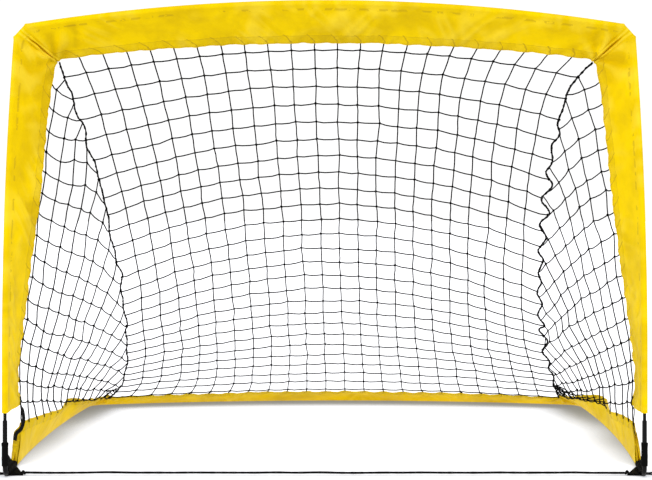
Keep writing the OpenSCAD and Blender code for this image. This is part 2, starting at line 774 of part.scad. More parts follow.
// A solid through a row of rings with as many points each
module swept(rings) {
    n = len(rings[0]);
    last = (len(rings) - 1) * n;
    polyhedron(
        points = [for (r = rings) for (p = r) p],
        faces = concat(
            [for (r = [0 : len(rings) - 2]) for (i = [0 : n - 1])
                let (a = r * n + i, b = r * n + (i + 1) % n)
                each [[a, b + n, b], [a, a + n, b + n]]],
            [for (i = [1 : n - 2]) [0, i, i + 1]],
            [for (i = [1 : n - 2]) [last, last + i + 1, last + i]]
        )
    );
}
module cord(route, d, ref) {
    swept([for (i = [0 : len(route) - 1]) cross_ring(route[i], mid_way(route, i), ref, d / 2)]);
}

// The seam cord bends where the back net's strands meet it
module seam_cord_right() {
    end = seam_side / seam_len;
    color([0.07, 0.07, 0.08]) place() cord(
        [for (i = [0 : back_down]) seam_point(min(max(i / back_down, end), 1 - end))],
        seam_d, [1, 0, 0]
    );
}

// A shock cord runs inside its poles, from one free end to the other
shock_step = 50;
shock_bend_step = 6;
function shock_stops(bend_from, bend_to, end) = concat(
    but_last(spaced(pole_end + tip_len / 2 + seat_gap, bend_from, shock_step)),
    but_last(spaced(bend_from, bend_to, shock_bend_step)),
    but_last(spaced(bend_to, end, shock_step))
);
module arch_shock_cord() {
    half = [for (s = shock_stops(arch_bend_from, arch_bend_to, arch_end))
        arch_point(along(arch_track, s))];
    color("white") place() cord(
        concat(half, [[0, 0, goal_h]], [for (p = reversed(half)) flip(p)]), shock_d, [0, 1, 0]
    );
}
module base_shock_cord() {
    half = [for (s = shock_stops(rear_bend_from, rear_bend_to, base_end))
        base_point(along(base_track, s))];
    color("white") place() cord(
        concat(half, [[0, goal_depth, base_z]], [for (p = reversed(half)) flip(p)]),
        shock_d, [0, 0, 1]
    );
}

knot_x = post_x - gusset_tip_in * cos(splay) + gusset_tip_back * sin(splay);
knot_y = gusset_tip_back * cos(splay) + gusset_tip_in * sin(splay);
knot_z = gusset_t + seat_gap + knot_d / 2;
module cord_knot_right() {
    color([0.07, 0.07, 0.08]) place() translate([knot_x, knot_y, knot_z]) sphere(d = knot_d);
}
// The cord between the feet is pulled tight, so it runs straight
module ground_cord() {
    reach = knot_x - knot_d / 2 - seat_gap;
    color([0.07, 0.07, 0.08]) place() cord(
        [for (i = [-8 : 8]) [reach * i / 8, knot_y, knot_z]], ground_cord_d, [0, 0, 1]
    );
}

// Route of a peg loop on the ground, out from its gusset and back. x is from the gusset's
// outer edge and y from the post.
loop_route = [
    [0, 32], [4, 32], [9, 31.6], [15, 30.8], [21, 30.4], [26, 30.8], [30, 32.6], [32, 36],
    [31.6, 40], [29, 43], [24.5, 44], [19, 43], [14, 41.4], [9, 40.4], [4, 40], [0, 40]
];
module peg_loop_right() {
    color([0.07, 0.07, 0.08])
        place() translate([post_x, 0, loop_d / 2]) rotate([0, 0, -splay]) cord(
            [for (p = loop_route) [cuff_in + seat_gap + p.x, p.y, 0]], loop_d, [0, 0, 1]
        );
}

strap_steps = 8;
module strap_right() {
    top = post_hem(sleeve_start, arch_band) - [0, strap_w / 2 + 2, seat_gap];
    low = side_hem(hem_front_y, base_band) - [0, strap_w / 2 + seat_gap, 5];
    color([0.1, 0.1, 0.11]) place() swept([for (i = [0 : strap_steps])
        let (
            t = i / strap_steps,
            p = low + t * (top - low) - [4 * strap_bow * t * (1 - t), 0, 0],
            a = [strap_t / 2, 0, 0], b = [0, strap_w / 2, 0]
        )
        [p + a - b, p + a + b, p - a + b, p - a - b]
    ]);
}

// ---- the left-hand pieces are mirror images ----

module left() {
    mirror([1, 0, 0]) children();
}

left() foot_right();  // foot_left
foot_right();
left() base_pole_front_right();  // base_pole_front_left
base_pole_front_right();
left() base_pole_side_right();  // base_pole_side_left
base_pole_side_right();
left() base_pole_rear_right();  // base_pole_rear_left
base_pole_rear_right();
left() base_ferrule_right();  // base_ferrule_left
base_ferrule_right();
base_ferrule_rear();
left() rear_elbow_right();  // rear_elbow_left
rear_elbow_right();
base_shock_cord();
base_pole_tips();
left() base_sleeve_right();  // base_sleeve_left
base_sleeve_rear();
base_sleeve_right();
left() gusset_right();  // gusset_left
gusset_right();
left() strap_right();  // strap_left
strap_right();
ground_cord();
left() cord_knot_right();  // cord_knot_left
cord_knot_right();
left() peg_loop_right();  // peg_loop_left
peg_loop_right();
left() post_pole_lower_right();  // post_pole_lower_left
post_pole_lower_right();
left() post_pole_upper_right();  // post_pole_upper_left
post_pole_upper_right();
left() crossbar_pole_right();  // crossbar_pole_left
crossbar_pole_right();
left() post_ferrule_right();  // post_ferrule_left
post_ferrule_right();
crossbar_ferrule();
left() arch_elbow_right();  // arch_elbow_left
arch_elbow_right();
arch_shock_cord();
post_pole_tips();
left() post_sleeve_right();  // post_sleeve_left
crossbar_sleeve();
post_sleeve_right();
back_net();
left() side_net_right();  // side_net_left
side_net_right();
left() seam_cord_right();  // seam_cord_left
seam_cord_right();
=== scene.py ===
"""A pop-up practice goal: sewn sleeves, knotted nets, cords, straps and gussets over the CAD poles."""
import math

import bpy
import numpy as np
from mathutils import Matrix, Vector, noise

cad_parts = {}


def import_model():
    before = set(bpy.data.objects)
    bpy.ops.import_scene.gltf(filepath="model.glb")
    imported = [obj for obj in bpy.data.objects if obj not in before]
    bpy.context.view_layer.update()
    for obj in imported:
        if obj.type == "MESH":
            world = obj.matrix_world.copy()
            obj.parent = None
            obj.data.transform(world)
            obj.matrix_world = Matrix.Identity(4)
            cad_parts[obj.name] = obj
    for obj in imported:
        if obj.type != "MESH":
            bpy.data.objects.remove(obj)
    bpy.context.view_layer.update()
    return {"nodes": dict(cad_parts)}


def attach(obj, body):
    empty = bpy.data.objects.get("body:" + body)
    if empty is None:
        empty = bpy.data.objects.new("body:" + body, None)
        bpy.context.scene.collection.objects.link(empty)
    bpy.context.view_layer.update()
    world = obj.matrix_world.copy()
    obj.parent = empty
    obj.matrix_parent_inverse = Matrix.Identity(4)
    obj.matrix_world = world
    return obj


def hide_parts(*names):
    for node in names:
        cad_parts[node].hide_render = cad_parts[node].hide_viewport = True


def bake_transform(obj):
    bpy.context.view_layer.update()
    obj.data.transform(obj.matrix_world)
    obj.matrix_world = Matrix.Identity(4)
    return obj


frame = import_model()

RNG = np.random.default_rng(11)

# ---- the frame's sizes, in metres ----

POST_X = 0.611
GOAL_H = 0.908
DEPTH = 0.908
FRONT_Y = -DEPTH / 2
CROSSBAR_RISE, POST_LEAN, POST_STRAIGHT = 0.048, 0.024, 0.235
BASE_HALF, BASE_WIDEST, REAR_BOW = 0.651, 0.580, 0.076
ARCH_BEND, REAR_BEND = 0.042, 0.045
TUBE_D = 0.009
# The outer radius of the sleeves' round channel, which is also how high the base poles lie
CHANNEL = 0.00585
BASE_Z = CHANNEL
FOOT_LEG, FOOT_SOCKET, FOOT_BEND = 0.110, 0.060, 0.020
SLEEVE_START = 0.125
ARCH_BAND = 0.103 - CHANNEL
BASE_BAND = 0.077 - CHANNEL
CROSS_TILT = math.radians(48)
TILT_CORNER, TILT_REAR = math.radians(20), math.radians(23)
GUSSET_H, GUSSET_LEN = 0.068, 0.100

# ---- tracks of the poles, for the right half ----


def bow_radius(run, rise):
    return (run * run + rise * rise) / (2 * rise)


def circle_point(c, r, a):
    return np.array(c) + r * np.array([math.cos(a), math.sin(a)])


def angle_from(c, p):
    return math.atan2(p[1] - c[1], p[0] - c[0])


def meet(c1, r1, c2, r2):
    """Where two circles cross, on the side with the larger x and y."""
    c1, c2 = np.array(c1), np.array(c2)
    d = np.linalg.norm(c2 - c1)
    e = (c2 - c1) / d
    a = (r1 * r1 - r2 * r2 + d * d) / (2 * d)
    h = math.sqrt(r1 * r1 - a * a)
    p, q = (c1 + a * e + s * h * np.array([-e[1], e[0]]) for s in (1, -1))
    return p if p.sum() > q.sum() else q


# A track is a list of straight runs, as start, heading and length, and arcs, as centre, radius and
# first and last angle


def track_len(track):
    return sum(p[2] if len(p) == 3 else p[1] * abs(p[3] - p[2]) for p in track)


def track_at(track, s):
    """Point and heading at a distance along a track."""
    for part in track:
        run = track_len([part])
        if s <= run or part is track[-1]:
            break
        s -= run
    if len(part) == 3:
        return circle_point(part[0], s, part[1]), part[1]
    a = part[2] + s / part[1]
    return circle_point(part[0], part[1], a), a + math.pi / 2


corner_y, corner_x = GOAL_H - CROSSBAR_RISE, POST_X - POST_LEAN
post_r = bow_radius(corner_y - POST_STRAIGHT, POST_LEAN)
post_c = (POST_X - post_r, POST_STRAIGHT)
bar_r = bow_radius(corner_x, CROSSBAR_RISE)
bar_c = (0, GOAL_H - bar_r)
bend_c = meet(post_c, post_r - ARCH_BEND, bar_c, bar_r - ARCH_BEND)
ARCH = [
    ((POST_X, 0), math.pi / 2, POST_STRAIGHT),
    (post_c, post_r, 0, angle_from(post_c, bend_c)),
    (bend_c, ARCH_BEND, angle_from(post_c, bend_c), angle_from(bar_c, bend_c)),
    (bar_c, bar_r, angle_from(bar_c, bend_c), math.pi / 2),
]
arch_end = track_len(ARCH)
arch_mitre = track_len(ARCH[:2]) + track_len(ARCH[2:3]) / 2

grip = FOOT_LEG - FOOT_SOCKET / 2
splay = 2 * math.atan((BASE_HALF - POST_X) / (BASE_WIDEST + grip))
side_r = (BASE_WIDEST - grip * math.cos(splay)) / math.sin(splay)
side_c = (BASE_HALF - side_r, BASE_WIDEST)
rear_r = bow_radius(BASE_HALF, REAR_BOW)
rear_c = (0, DEPTH - rear_r)
rbend_c = meet(side_c, side_r - REAR_BEND, rear_c, rear_r - REAR_BEND)
BASE = [
    (side_c, side_r, -splay - grip / side_r, angle_from(side_c, rbend_c)),
    (rbend_c, REAR_BEND, angle_from(side_c, rbend_c), angle_from(rear_c, rbend_c)),
    (rear_c, rear_r, angle_from(rear_c, rbend_c), math.pi / 2),
]
base_end = track_len(BASE)
rear_mitre = track_len(BASE[:1]) + track_len(BASE[1:2]) / 2

# ---- hems, with y as the depth behind the posts ----


def arch_hem_corner(w):
    k = w * math.cos(CROSS_TILT)
    return meet(post_c, post_r - k, bar_c, bar_r - k)


def smooth(x, a, b):
    """From 0 at a to 1 at b, level at both."""
    t = min(max((x - a) / (b - a), 0), 1)
    return t * t * (3 - 2 * t)


def eased(x, at, values):
    """Between listed values, with a smooth turn at each."""
    i = min(max(int(np.searchsorted(at, x)) - 1, 0), len(at) - 2)
    d = at[i + 1] - at[i]
    t = min(max((x - at[i]) / d, 0), 1)
    first, last = (0.0 if k in (0, len(at) - 1) else (values[k + 1] - values[k - 1]) / (at[k + 1] - at[k - 1])
                   for k in (i, i + 1))
    return ((2 * t ** 3 - 3 * t ** 2 + 1) * values[i] + (t ** 3 - 2 * t ** 2 + t) * d * first
            + (3 * t ** 2 - 2 * t ** 3) * values[i + 1] + (t ** 3 - t ** 2) * d * last)


# How the post bands turn with height, and the side bands with depth, in degrees
POST_Z = [0.125, 0.150, 0.175, 0.250, 0.333, 0.430, 0.532, 0.650, 0.732, 0.799]
POST_TURN = [90, 92, 93, 89, 83, 75, 67, 61, 56, 48]
SIDE_Y = [0.105, 0.170, 0.255, 0.340, 0.410, 0.456, 0.500, 0.540, 0.582, 0.620, 0.700, 0.800, 0.870]
SIDE_TURN = {-1: [88, 88, 73, 62, 55, 58, 64, 57, 45, 39, 29, 22, 20],
             1: [88, 88, 80, 65, 70, 78, 78, 71, 58, 47, 31, 22, 20]}


def post_hem(z, w):
    t = math.radians(eased(z, POST_Z, POST_TURN))
    r, rise = post_r - w * math.cos(t), max(z - post_c[1], 0)
    return np.array([post_c[0] + math.sqrt(r * r - rise * rise), w * math.sin(t), z])


def bar_hem(u, w):
    a = math.pi / 2 - u * (math.pi / 2 - angle_from(bar_c, arch_hem_corner(w)))
    p = circle_point(bar_c, bar_r - w * math.cos(CROSS_TILT), a)
    return np.array([p[0], w * math.sin(CROSS_TILT), p[1]])


def base_hem_corner(w):
    k = w * math.cos(TILT_CORNER)
    return meet(side_c, side_r - k, rear_c, rear_r - k)


def side_hem(y, w, side=1):
    """The side band stands at the foot, sways, and lies down towards the rear corner."""
    turn = math.radians(eased(y, SIDE_Y, SIDE_TURN[side]))
    r, dy = side_r - w * math.cos(turn), y - side_c[1]
    return np.array([side_c[0] + math.sqrt(r * r - dy * dy), y, BASE_Z + w * math.sin(turn)])


def rear_hem(u, w):
    a = math.pi / 2 - u * (math.pi / 2 - angle_from(rear_c, base_hem_corner(w)))
    t = TILT_REAR + (TILT_CORNER - TILT_REAR) * u * u
    p = circle_point(rear_c, rear_r - w * math.cos(t), a)
    return np.array([p[0], p[1], BASE_Z + w * math.sin(t)])


arch_corner_z, base_corner_y = arch_hem_corner(ARCH_BAND)[1], base_hem_corner(BASE_BAND)[1]
# Where the side bands start along their poles, and how far behind the posts their hems do
SIDE_START, HEM_START = 0.106, 0.160

# ---- the net's surfaces ----

NET_SAG, SEAM_SAG = 0.041, 0.030
# The way of the sag: down and forwards, about square to the net's slope
DOWN = np.array([0, -math.sin(math.pi / 4), -math.cos(math.pi / 4)])
# How far each side's net is drawn in, in millimetres, at these shares of the way down
PULL_V = [0, 0.033, 0.086, 0.13, 0.18, 0.25, 0.32, 0.40, 0.50, 0.60, 0.70, 0.80, 0.85, 0.90, 0.95, 1]
PULL = {-1: [0, 5, 19, 27, 35, 46, 55, 62, 69, 73, 69, 65, 56, 48, 33, 0],
        1: [0, 29, 50, 58, 64, 72, 75, 78, 77, 75, 66, 51, 37, 26, 14, 0]}
# How often each seam cord kinks, and how far in and out, in millimetres
KINKS = {-1: (26, 4.5), 1: (30, 7.5)}
# How much lower the back net's rows are at the seams than in the middle, in shares of the net
DROP_V = [0, 0.015, 0.10, 0.25, 0.38, 0.50, 0.65, 0.80, 0.90, 1]
DROP = [0.014, 0.018, 0.040, 0.077, 0.095, 0.116, 0.108, 0.077, 0.045, 0.012]


def back_surface(u, v):
    """u runs from -1 to 1 across the back net, v from 0 at the crossbar to 1 at the base."""
    side = 1 if u >= 0 else -1
    pull = np.interp(v, PULL_V, PULL[side]) / 1000
    sag = (NET_SAG + (SEAM_SAG - NET_SAG) * u * u) * v ** 1.5 * (1 - v) / 0.186
    return ((1 - v) * bar_hem(u, ARCH_BAND) + v * rear_hem(u, BASE_BAND) + sag * DOWN
            - np.array([u * pull, 0, 0]))


# The side nets have 16 rows, the topmost with one knot and each lower one with one knot more. Each
# row runs from the post's hem to the seam. At the rows listed here: the share of the seam where a
# row ends, and how far the row's middle stands out and up from a straight line, then how far
# its two halves do so in opposite ways, in millimetres
SIDE_ROWS, HEM_TOP, HEM_STEP = 16, 0.761, 0.0419
AT_ROWS = [0, 2, 3, 5, 8, 11, 13, 15]
ROW_ENDS = {-1: [0.085, 0.180, 0.262, 0.417, 0.646, 0.842, 0.954, 0.999],
            1: [0.073, 0.234, 0.309, 0.456, 0.687, 0.861, 0.944, 0.984]}
ROW_OUT = {-1: [0, 0, 1, 0, 4, 7, 10, 1], 1: [-6, -4, -5, -3, -3, -10, 2, 1]}
ROW_UP = {-1: [-4, -12, 2, 11, 11, 4, 2, -4], 1: [-5, 7, 10, 11, 16, 6, -5, -10]}
HALVES_OUT = {-1: [3, 4, 0, -2, 2, 0, -1, -6], 1: [15, 15, 18, 13, 9, -6, 0, -14]}
HALVES_UP = {-1: [10, 12, 37, 24, 19, 17, 18, -2], 1: [8, 8, 3, -4, 8, 4, -5, 5]}
# How many meshes lie between the post's hem and the first string
FIRST_STRING = {-1: 0.3, 1: 0.45}


def world(p):
    """From depth behind the posts to the row frame."""
    return np.array([p[0], p[1] + FRONT_Y, p[2]])


# ---- meshes ----


def unit(v):
    return v / np.linalg.norm(v)


def wave(x, y, seed, z=0.0):
    """Smooth noise between about -1 and 1."""
    return noise.noise(Vector((x + seed * 17.3, y - seed * 5.1, z + seed * 3.7)))


def lengths_along(path):
    return np.concatenate([[0], np.cumsum(np.linalg.norm(np.diff(path, axis=0), axis=1))])


def alone(obj):
    """Select one object only, and make it the active one."""
    bpy.ops.object.select_all(action="DESELECT")
    obj.select_set(True)
    bpy.context.view_layer.objects.active = obj


def join_edges(obj, turn_out=False):
    """Merge the points that a piece's skins share, and turn its faces outwards if asked."""
    alone(obj)
    bpy.ops.object.mode_set(mode="EDIT")
    bpy.ops.mesh.select_all(action="SELECT")
    bpy.ops.mesh.remove_doubles(threshold=0.00005)
    if turn_out:
        bpy.ops.mesh.normals_make_consistent(inside=False)
    bpy.ops.object.mode_set(mode="OBJECT")
    obj.select_set(False)


class Skin:
    """Points, faces and UVs of one mesh."""

    def __init__(self):
        self.points, self.faces, self.uvs = [], [], []
        self.hems, self.ridges = {}, {}

    def grid(self, rows, us, vs, closed=False, flip=False):
        """A skin over rows of points; closed joins each row's last point to its first."""
        base, n = len(self.points), len(rows[0])
        for r in rows:
            self.points.extend(r)
        for i in range(len(rows) - 1):
            for j in range(n if closed else n - 1):
                a, b = base + i * n, (j + 1) % n
                f = [a + j, a + b, a + n + b, a + n + j]
                uv = [(us[i], vs[j]), (us[i], vs[j + 1]), (us[i + 1], vs[j + 1]), (us[i + 1], vs[j])]
                self.faces.append(f[::-1] if flip else f)
                self.uvs.append(uv[::-1] if flip else uv)
        return base

    def face(self, ring):
        self.faces.append(list(ring))
        self.uvs.append([(0, 0)] * len(ring))

    def tube(self, path, radius, sides=6, start=(0, 0, 1)):
        """A closed tube along a path; the radius is one number or one for each point."""
        path = np.asarray(path, float)
        radius = np.broadcast_to(np.asarray(radius, float), (len(path),))
        tangents = np.gradient(path, axis=0)
        tangents /= np.linalg.norm(tangents, axis=1)[:, None]
        ref = np.array(start, float)
        if abs(ref @ tangents[0]) > 0.9:
            ref = np.array([1.0, 0, 0])
        angles = np.arange(sides) * 2 * math.pi / sides
        rows = []
        for p, r, t in zip(path, radius, tangents):
            ref = unit(ref - (ref @ t) * t)
            rows.append(p + r * (np.cos(angles)[:, None] * ref + np.sin(angles)[:, None] * np.cross(t, ref)))
        round_it = [j / sides for j in range(sides + 1)]
        base = self.grid(rows, lengths_along(path), round_it, closed=True)
        self.face(range(base + sides - 1, base - 1, -1))
        last = base + (len(path) - 1) * sides
        self.face(range(last, last + sides))

    def knob(self, centre, radii, turn, rings=4, sides=6):
        """A small lump, as of a knot."""
        points, base = [], len(self.points)
        for i in range(rings + 1):
            a = math.pi * i / rings
            for j in range(1 if i in (0, rings) else sides):
                b = 2 * math.pi * (j + 0.5 * (i % 2)) / sides
                points.append([math.sin(a) * math.cos(b), math.sin(a) * math.sin(b), math.cos(a)])
        self.points.extend((np.array(points) * radii) @ turn.T + centre)

        def at(i, j):
            return base + 1 + (i - 1) * sides + j % sides

        for j in range(sides):
            self.face([base, at(1, j), at(1, j + 1)])
            for i in range(1, rings - 1):
                self.face([at(i, j), at(i + 1, j), at(i + 1, j + 1), at(i, j + 1)])
            self.face([at(rings - 1, j), at(rings, 0), at(rings - 1, j + 1)])

    def make(self, name, finish):
        mesh = bpy.data.meshes.new(name)
        mesh.from_pydata([tuple(p) for p in self.points], [], self.faces)
        layer = mesh.uv_layers.new(name="UVMap")
        layer.data.foreach_set("uv", np.array([c for f in self.uvs for c in f], np.float32).ravel())
        if self.hems:
            # The Ridge attribute holds how sharply the cloth is folded; the yellow material paints shade and
            # highlights from it.
            heights = [self.ridges.get(k, 0.0) for k in range(len(self.points))]
            mesh.attributes.new("Ridge", "FLOAT", "POINT").data.foreach_set("value", heights)
            layer = mesh.uv_layers.new(name="Hem")
            spots = [self.hems.get(k, (0.5, 0.5)) for f in self.faces for k in f]
            layer.data.foreach_set("uv", np.array(spots, np.float32).ravel())
        mesh.materials.append(finish)
        mesh.update()
        obj = bpy.data.objects.new(name, mesh)
        bpy.context.collection.objects.link(obj)
        alone(obj)
        bpy.ops.object.shade_smooth_by_angle(angle=math.radians(50))
        obj.select_set(False)
        return obj


def random_turn():
    w, x, y, z = unit(RNG.normal(size=4))
    return np.array([
        [1 - 2 * (y * y + z * z), 2 * (x * y - w * z), 2 * (x * z + w * y)],
        [2 * (x * y + w * z), 1 - 2 * (x * x + z * z), 2 * (y * z - w * x)],
        [2 * (x * z - w * y), 2 * (y * z + w * x), 1 - 2 * (x * x + y * y)]])


# ---- materials ----


class Nodes:
    """Builds the nodes of one material or group."""

    def __init__(self, tree):
        self.tree = tree

    def add(self, kind, **values):
        node = self.tree.nodes.new(kind)
        for key, value in values.items():
            setattr(node, key, value)
        return node

    def feed(self, socket, value):
        """Give a socket a value, or link it to another node's output."""
        if isinstance(value, (int, float, tuple)):
            socket.default_value = value
        else:
            self.tree.links.new(value, socket)

    def math(self, operation, a, b=None):
        node = self.add("ShaderNodeMath", operation=operation)
        for socket, value in zip(node.inputs, (a, b)):
            if value is not None:
                self.feed(socket, value)
        return node.outputs[0]

    def times(self, a, b):
        return self.math("MULTIPLY", a, b)

    def plus(self, a, b):
        return self.math("ADD", a, b)

    def minus(self, a, b):
        return self.math("SUBTRACT", a, b)

    def larger(self, a, b):
        return self.math("MAXIMUM", a, b)

    def ribs(self, value):
        """Rounded ridges, one for each whole number."""
        return self.math("ABSOLUTE", self.math("SINE", self.times(value, math.pi)))

    def ramp(self, fac, stops):
        node = self.add("ShaderNodeValToRGB")
        for e, (at, colour) in zip(node.color_ramp.elements, stops):
            e.position, e.color = at, colour
        self.feed(node.inputs[0], fac)
        return node.outputs[0]

    def noise(self, vector, scale, detail=3.0, rough=0.55):
        node = self.add("ShaderNodeTexNoise")
        for key, value in (("Vector", vector), ("Scale", scale), ("Detail", detail), ("Roughness", rough)):
            self.feed(node.inputs[key], value)
        return node.outputs["Fac"]

    def mix(self, fac, a, b):
        node = self.add("ShaderNodeMix", data_type="RGBA")
        for at, value in ((0, fac), (6, a), (7, b)):
            self.feed(node.inputs[at], value)
        return node.outputs[2]

    def split(self, vector):
        node = self.add("ShaderNodeSeparateXYZ")
        self.feed(node.inputs[0], vector)
        return node.outputs["X"], node.outputs["Y"]

    def uv(self, layer="UVMap"):
        return self.add("ShaderNodeUVMap", uv_map=layer).outputs["UV"]

    def place(self):
        return self.add("ShaderNodeTexCoord").outputs["Object"]

    def woven(self, threads):
        """The height of a plain weave with this many threads to a metre."""
        group = self.add("ShaderNodeGroup", node_tree=WEAVE)
        self.feed(group.inputs["Threads"], threads)
        self.feed(group.inputs["Vector"], self.uv())
        return group.outputs["Height"]

    def bump(self, height, distance, strength, after=None):
        node = self.add("ShaderNodeBump")
        for key, value in (("Distance", distance), ("Strength", strength), ("Height", height)):
            self.feed(node.inputs[key], value)
        if after is not None:
            self.feed(node.inputs["Normal"], after)
        return node.outputs["Normal"]


def material(name, shine=0.07, **values):
    """A material, its nodes, and the sockets of its surface."""
    mat = bpy.data.materials.new(name)
    mat.use_nodes = True
    shader = next(n for n in mat.node_tree.nodes if n.type == "BSDF_PRINCIPLED")
    for key, value in {"Specular IOR Level": shine, **values}.items():
        shader.inputs[key].default_value = value
    return mat, Nodes(mat.node_tree), shader.inputs


def weave_group():
    """Height of a plain weave from UVs in metres: warp and weft threads that cross."""
    group = bpy.data.node_groups.new("Weave", "ShaderNodeTree")
    for name, way, kind in (("Vector", "INPUT", "Vector"), ("Threads", "INPUT", "Float"),
                            ("Height", "OUTPUT", "Float")):
        group.interface.new_socket(name, in_out=way, socket_type=f"NodeSocket{kind}")
    nodes = Nodes(group)
    given, out = nodes.add("NodeGroupInput"), nodes.add("NodeGroupOutput")
    turns = nodes.times(given.outputs["Threads"], math.pi)
    a, b = (nodes.math("SINE", nodes.times(x, turns)) for x in nodes.split(given.outputs["Vector"]))
    warp = nodes.times(nodes.math("ABSOLUTE", a), nodes.plus(nodes.times(b, 0.5), 0.5))
    weft = nodes.times(nodes.math("ABSOLUTE", b), nodes.minus(0.5, nodes.times(a, 0.5)))
    nodes.feed(out.inputs["Height"], nodes.larger(warp, weft))
    return group


WEAVE = weave_group()


def yellow_material():
    """Coated polyester: painted sheen and shade in large random patches, dull darker patches, painted shade
    over the sewn strip along the hem with painted shadows of the strings' loops in it, darker marks along a
    line near the pole, and painted shade in the folds with painted highlights on their crests.
    """
    mat, nodes, surface = material("Yellow polyester", 0.03)
    place = nodes.place()
    # Painted sheen and shade: the colour swings between a paler and a darker yellow in large random patches.
    tone, patch, fine = (nodes.noise(place, *kind) for kind in ((11.0, 4.0, 0.6), (55.0, 4.0), (140.0, 3.0)))
    colour = nodes.ramp(tone, [(0.36, (0.77, 0.525, 0.002, 1)), (0.60, (0.96, 0.68, 0.0004, 1))])
    along, up = nodes.split(nodes.uv("Hem"))

    def near(value, middle, reach):
        """1 at a value, falling to 0 at a reach from it."""
        off = nodes.math("ABSOLUTE", nodes.minus(value, middle))
        return nodes.larger(nodes.minus(1.0, nodes.math("DIVIDE", off, reach)), 0.0)

    # Painted shade: the sewn strip of two layers is painted darker in mottled patches, with painted shadows
    # of the strings' loops in it and painted shade along its stitch line (seam).
    strip = nodes.math("LESS_THAN", up, 1.0)
    bent = nodes.plus(nodes.math("FRACT", nodes.plus(along, 0.5)), nodes.times(fine, 0.22))
    bent = nodes.minus(bent, nodes.times(nodes.times(up, up), 0.22))
    loop = nodes.times(near(bent, 0.61, 0.065), nodes.math("LESS_THAN", up, 1.15))
    seam = nodes.times(near(up, 1.0, 0.09), nodes.times(fine, 1.1))
    # Darker in patches along a line near the pole.
    pole_line_dark = nodes.times(near(up, 4.35, 0.22), nodes.math("GREATER_THAN", patch, 0.52))
    shade = nodes.times(strip, nodes.times(patch, 0.38))
    for part, size in ((loop, 0.9), (seam, 0.8), (pole_line_dark, 0.55)):
        shade = nodes.larger(shade, nodes.times(part, size))
    # The Ridge attribute paints shade into the folds' hollows (low) and highlights on their crests (high).
    ridge = nodes.add("ShaderNodeAttribute", attribute_name="Ridge").outputs["Fac"]
    low = nodes.times(nodes.larger(nodes.times(ridge, -1.0), 0.0), 0.75)
    high = nodes.times(nodes.larger(nodes.minus(ridge, 0.35), 0.0), 0.55)
    # Mixed in turn: a darker yellow in the folds' hollows (painted shade), a paler one on their crests
    # (painted highlight), a duller one in the dull patches, and the darkest for the sewn strip's painted
    # shade and the marks near the pole.
    for amount, tint in ((nodes.math("MINIMUM", low, 0.5), (0.60, 0.40, 0.003, 1)),
                         (nodes.math("MINIMUM", high, 0.55), (1.0, 0.76, 0.05, 1)),
                         (nodes.times(patch, 0.25), (0.74, 0.50, 0.002, 1)),
                         (shade, (0.46, 0.30, 0.012, 1))):
        colour = nodes.mix(amount, colour, tint)
    nodes.feed(surface["Base Color"], colour)
    nodes.feed(surface["Roughness"], nodes.plus(nodes.times(patch, 0.2), 0.30))
    crumple = nodes.bump(fine, 0.0007, 0.22)
    nodes.feed(surface["Normal"], nodes.bump(nodes.woven(2600), 0.00012, 0.15, crumple))
    return mat


BLACK = (0.001, 0.001, 0.001, 1)


def twine_material():
    """Twisted string: slanting strands along the UVs, u in metres and v round the string."""
    mat, nodes, surface = material("Black twine", Roughness=0.8)
    along, across = nodes.split(nodes.uv())
    strand = nodes.ribs(nodes.plus(nodes.times(along, 420.0), nodes.times(across, 2.0)))
    # The strands' crests are painted lighter and the grooves between them darker: painted highlight and
    # shade.
    mixed = nodes.mix(nodes.times(strand, 0.6), BLACK, (0.007, 0.007, 0.008, 1))
    speck = nodes.noise(nodes.place(), 160.0)
    nodes.feed(surface["Base Color"], nodes.mix(nodes.times(speck, 0.4), mixed, BLACK))
    nodes.feed(surface["Normal"], nodes.bump(strand, 0.0004, 0.8))
    return mat


def braid_material(pitch=0.004):
    """Braided cord: two families of strands that cross."""
    mat, nodes, surface = material("Black braided cord", Roughness=0.75)
    along, across = nodes.split(nodes.uv())
    x, y = nodes.times(along, 1 / pitch), nodes.times(across, 4.0)
    strand = nodes.larger(nodes.ribs(nodes.plus(x, y)), nodes.ribs(nodes.minus(x, y)))
    light = (0.007, 0.007, 0.0075, 1)
    # Only the strands' crests are painted lighter, and the grooves between them dark: painted highlight and
    # shade.
    nodes.feed(surface["Base Color"], nodes.mix(nodes.math("POWER", strand, 4.0), BLACK, light))
    nodes.feed(surface["Normal"], nodes.bump(strand, 0.0005, 0.8))
    return mat


def webbing_material():
    mat, nodes, surface = material("Black webbing", Roughness=0.8)
    place = nodes.place()
    tone = nodes.times(nodes.noise(place, 60.0, 4.0), 0.5)
    nodes.feed(surface["Base Color"], nodes.mix(tone, BLACK, (0.006, 0.006, 0.0065, 1)))
    crumple = nodes.bump(nodes.noise(place, 180.0, 4.0), 0.0006, 0.5)
    nodes.feed(surface["Normal"], nodes.bump(nodes.woven(1400), 0.0002, 0.7, crumple))
    return mat


def elastic_material():
    """Elastic band: ribs along it and finer ones across."""
    mat, nodes, surface = material("Black elastic", Roughness=0.72)
    along, across = nodes.split(nodes.uv())
    rib, fine = nodes.ribs(nodes.times(across, 1 / 0.0011)), nodes.ribs(nodes.times(along, 1 / 0.0007))
    dark, light = (0.002, 0.002, 0.002, 1), (0.012, 0.012, 0.013, 1)
    # The ribs' tops are painted lighter and their grooves darker: painted highlight and shade.
    nodes.feed(surface["Base Color"], nodes.mix(nodes.times(rib, 0.5), dark, light))
    nodes.feed(surface["Normal"], nodes.bump(nodes.plus(rib, nodes.times(fine, 0.4)), 0.0003, 0.8))
    return mat


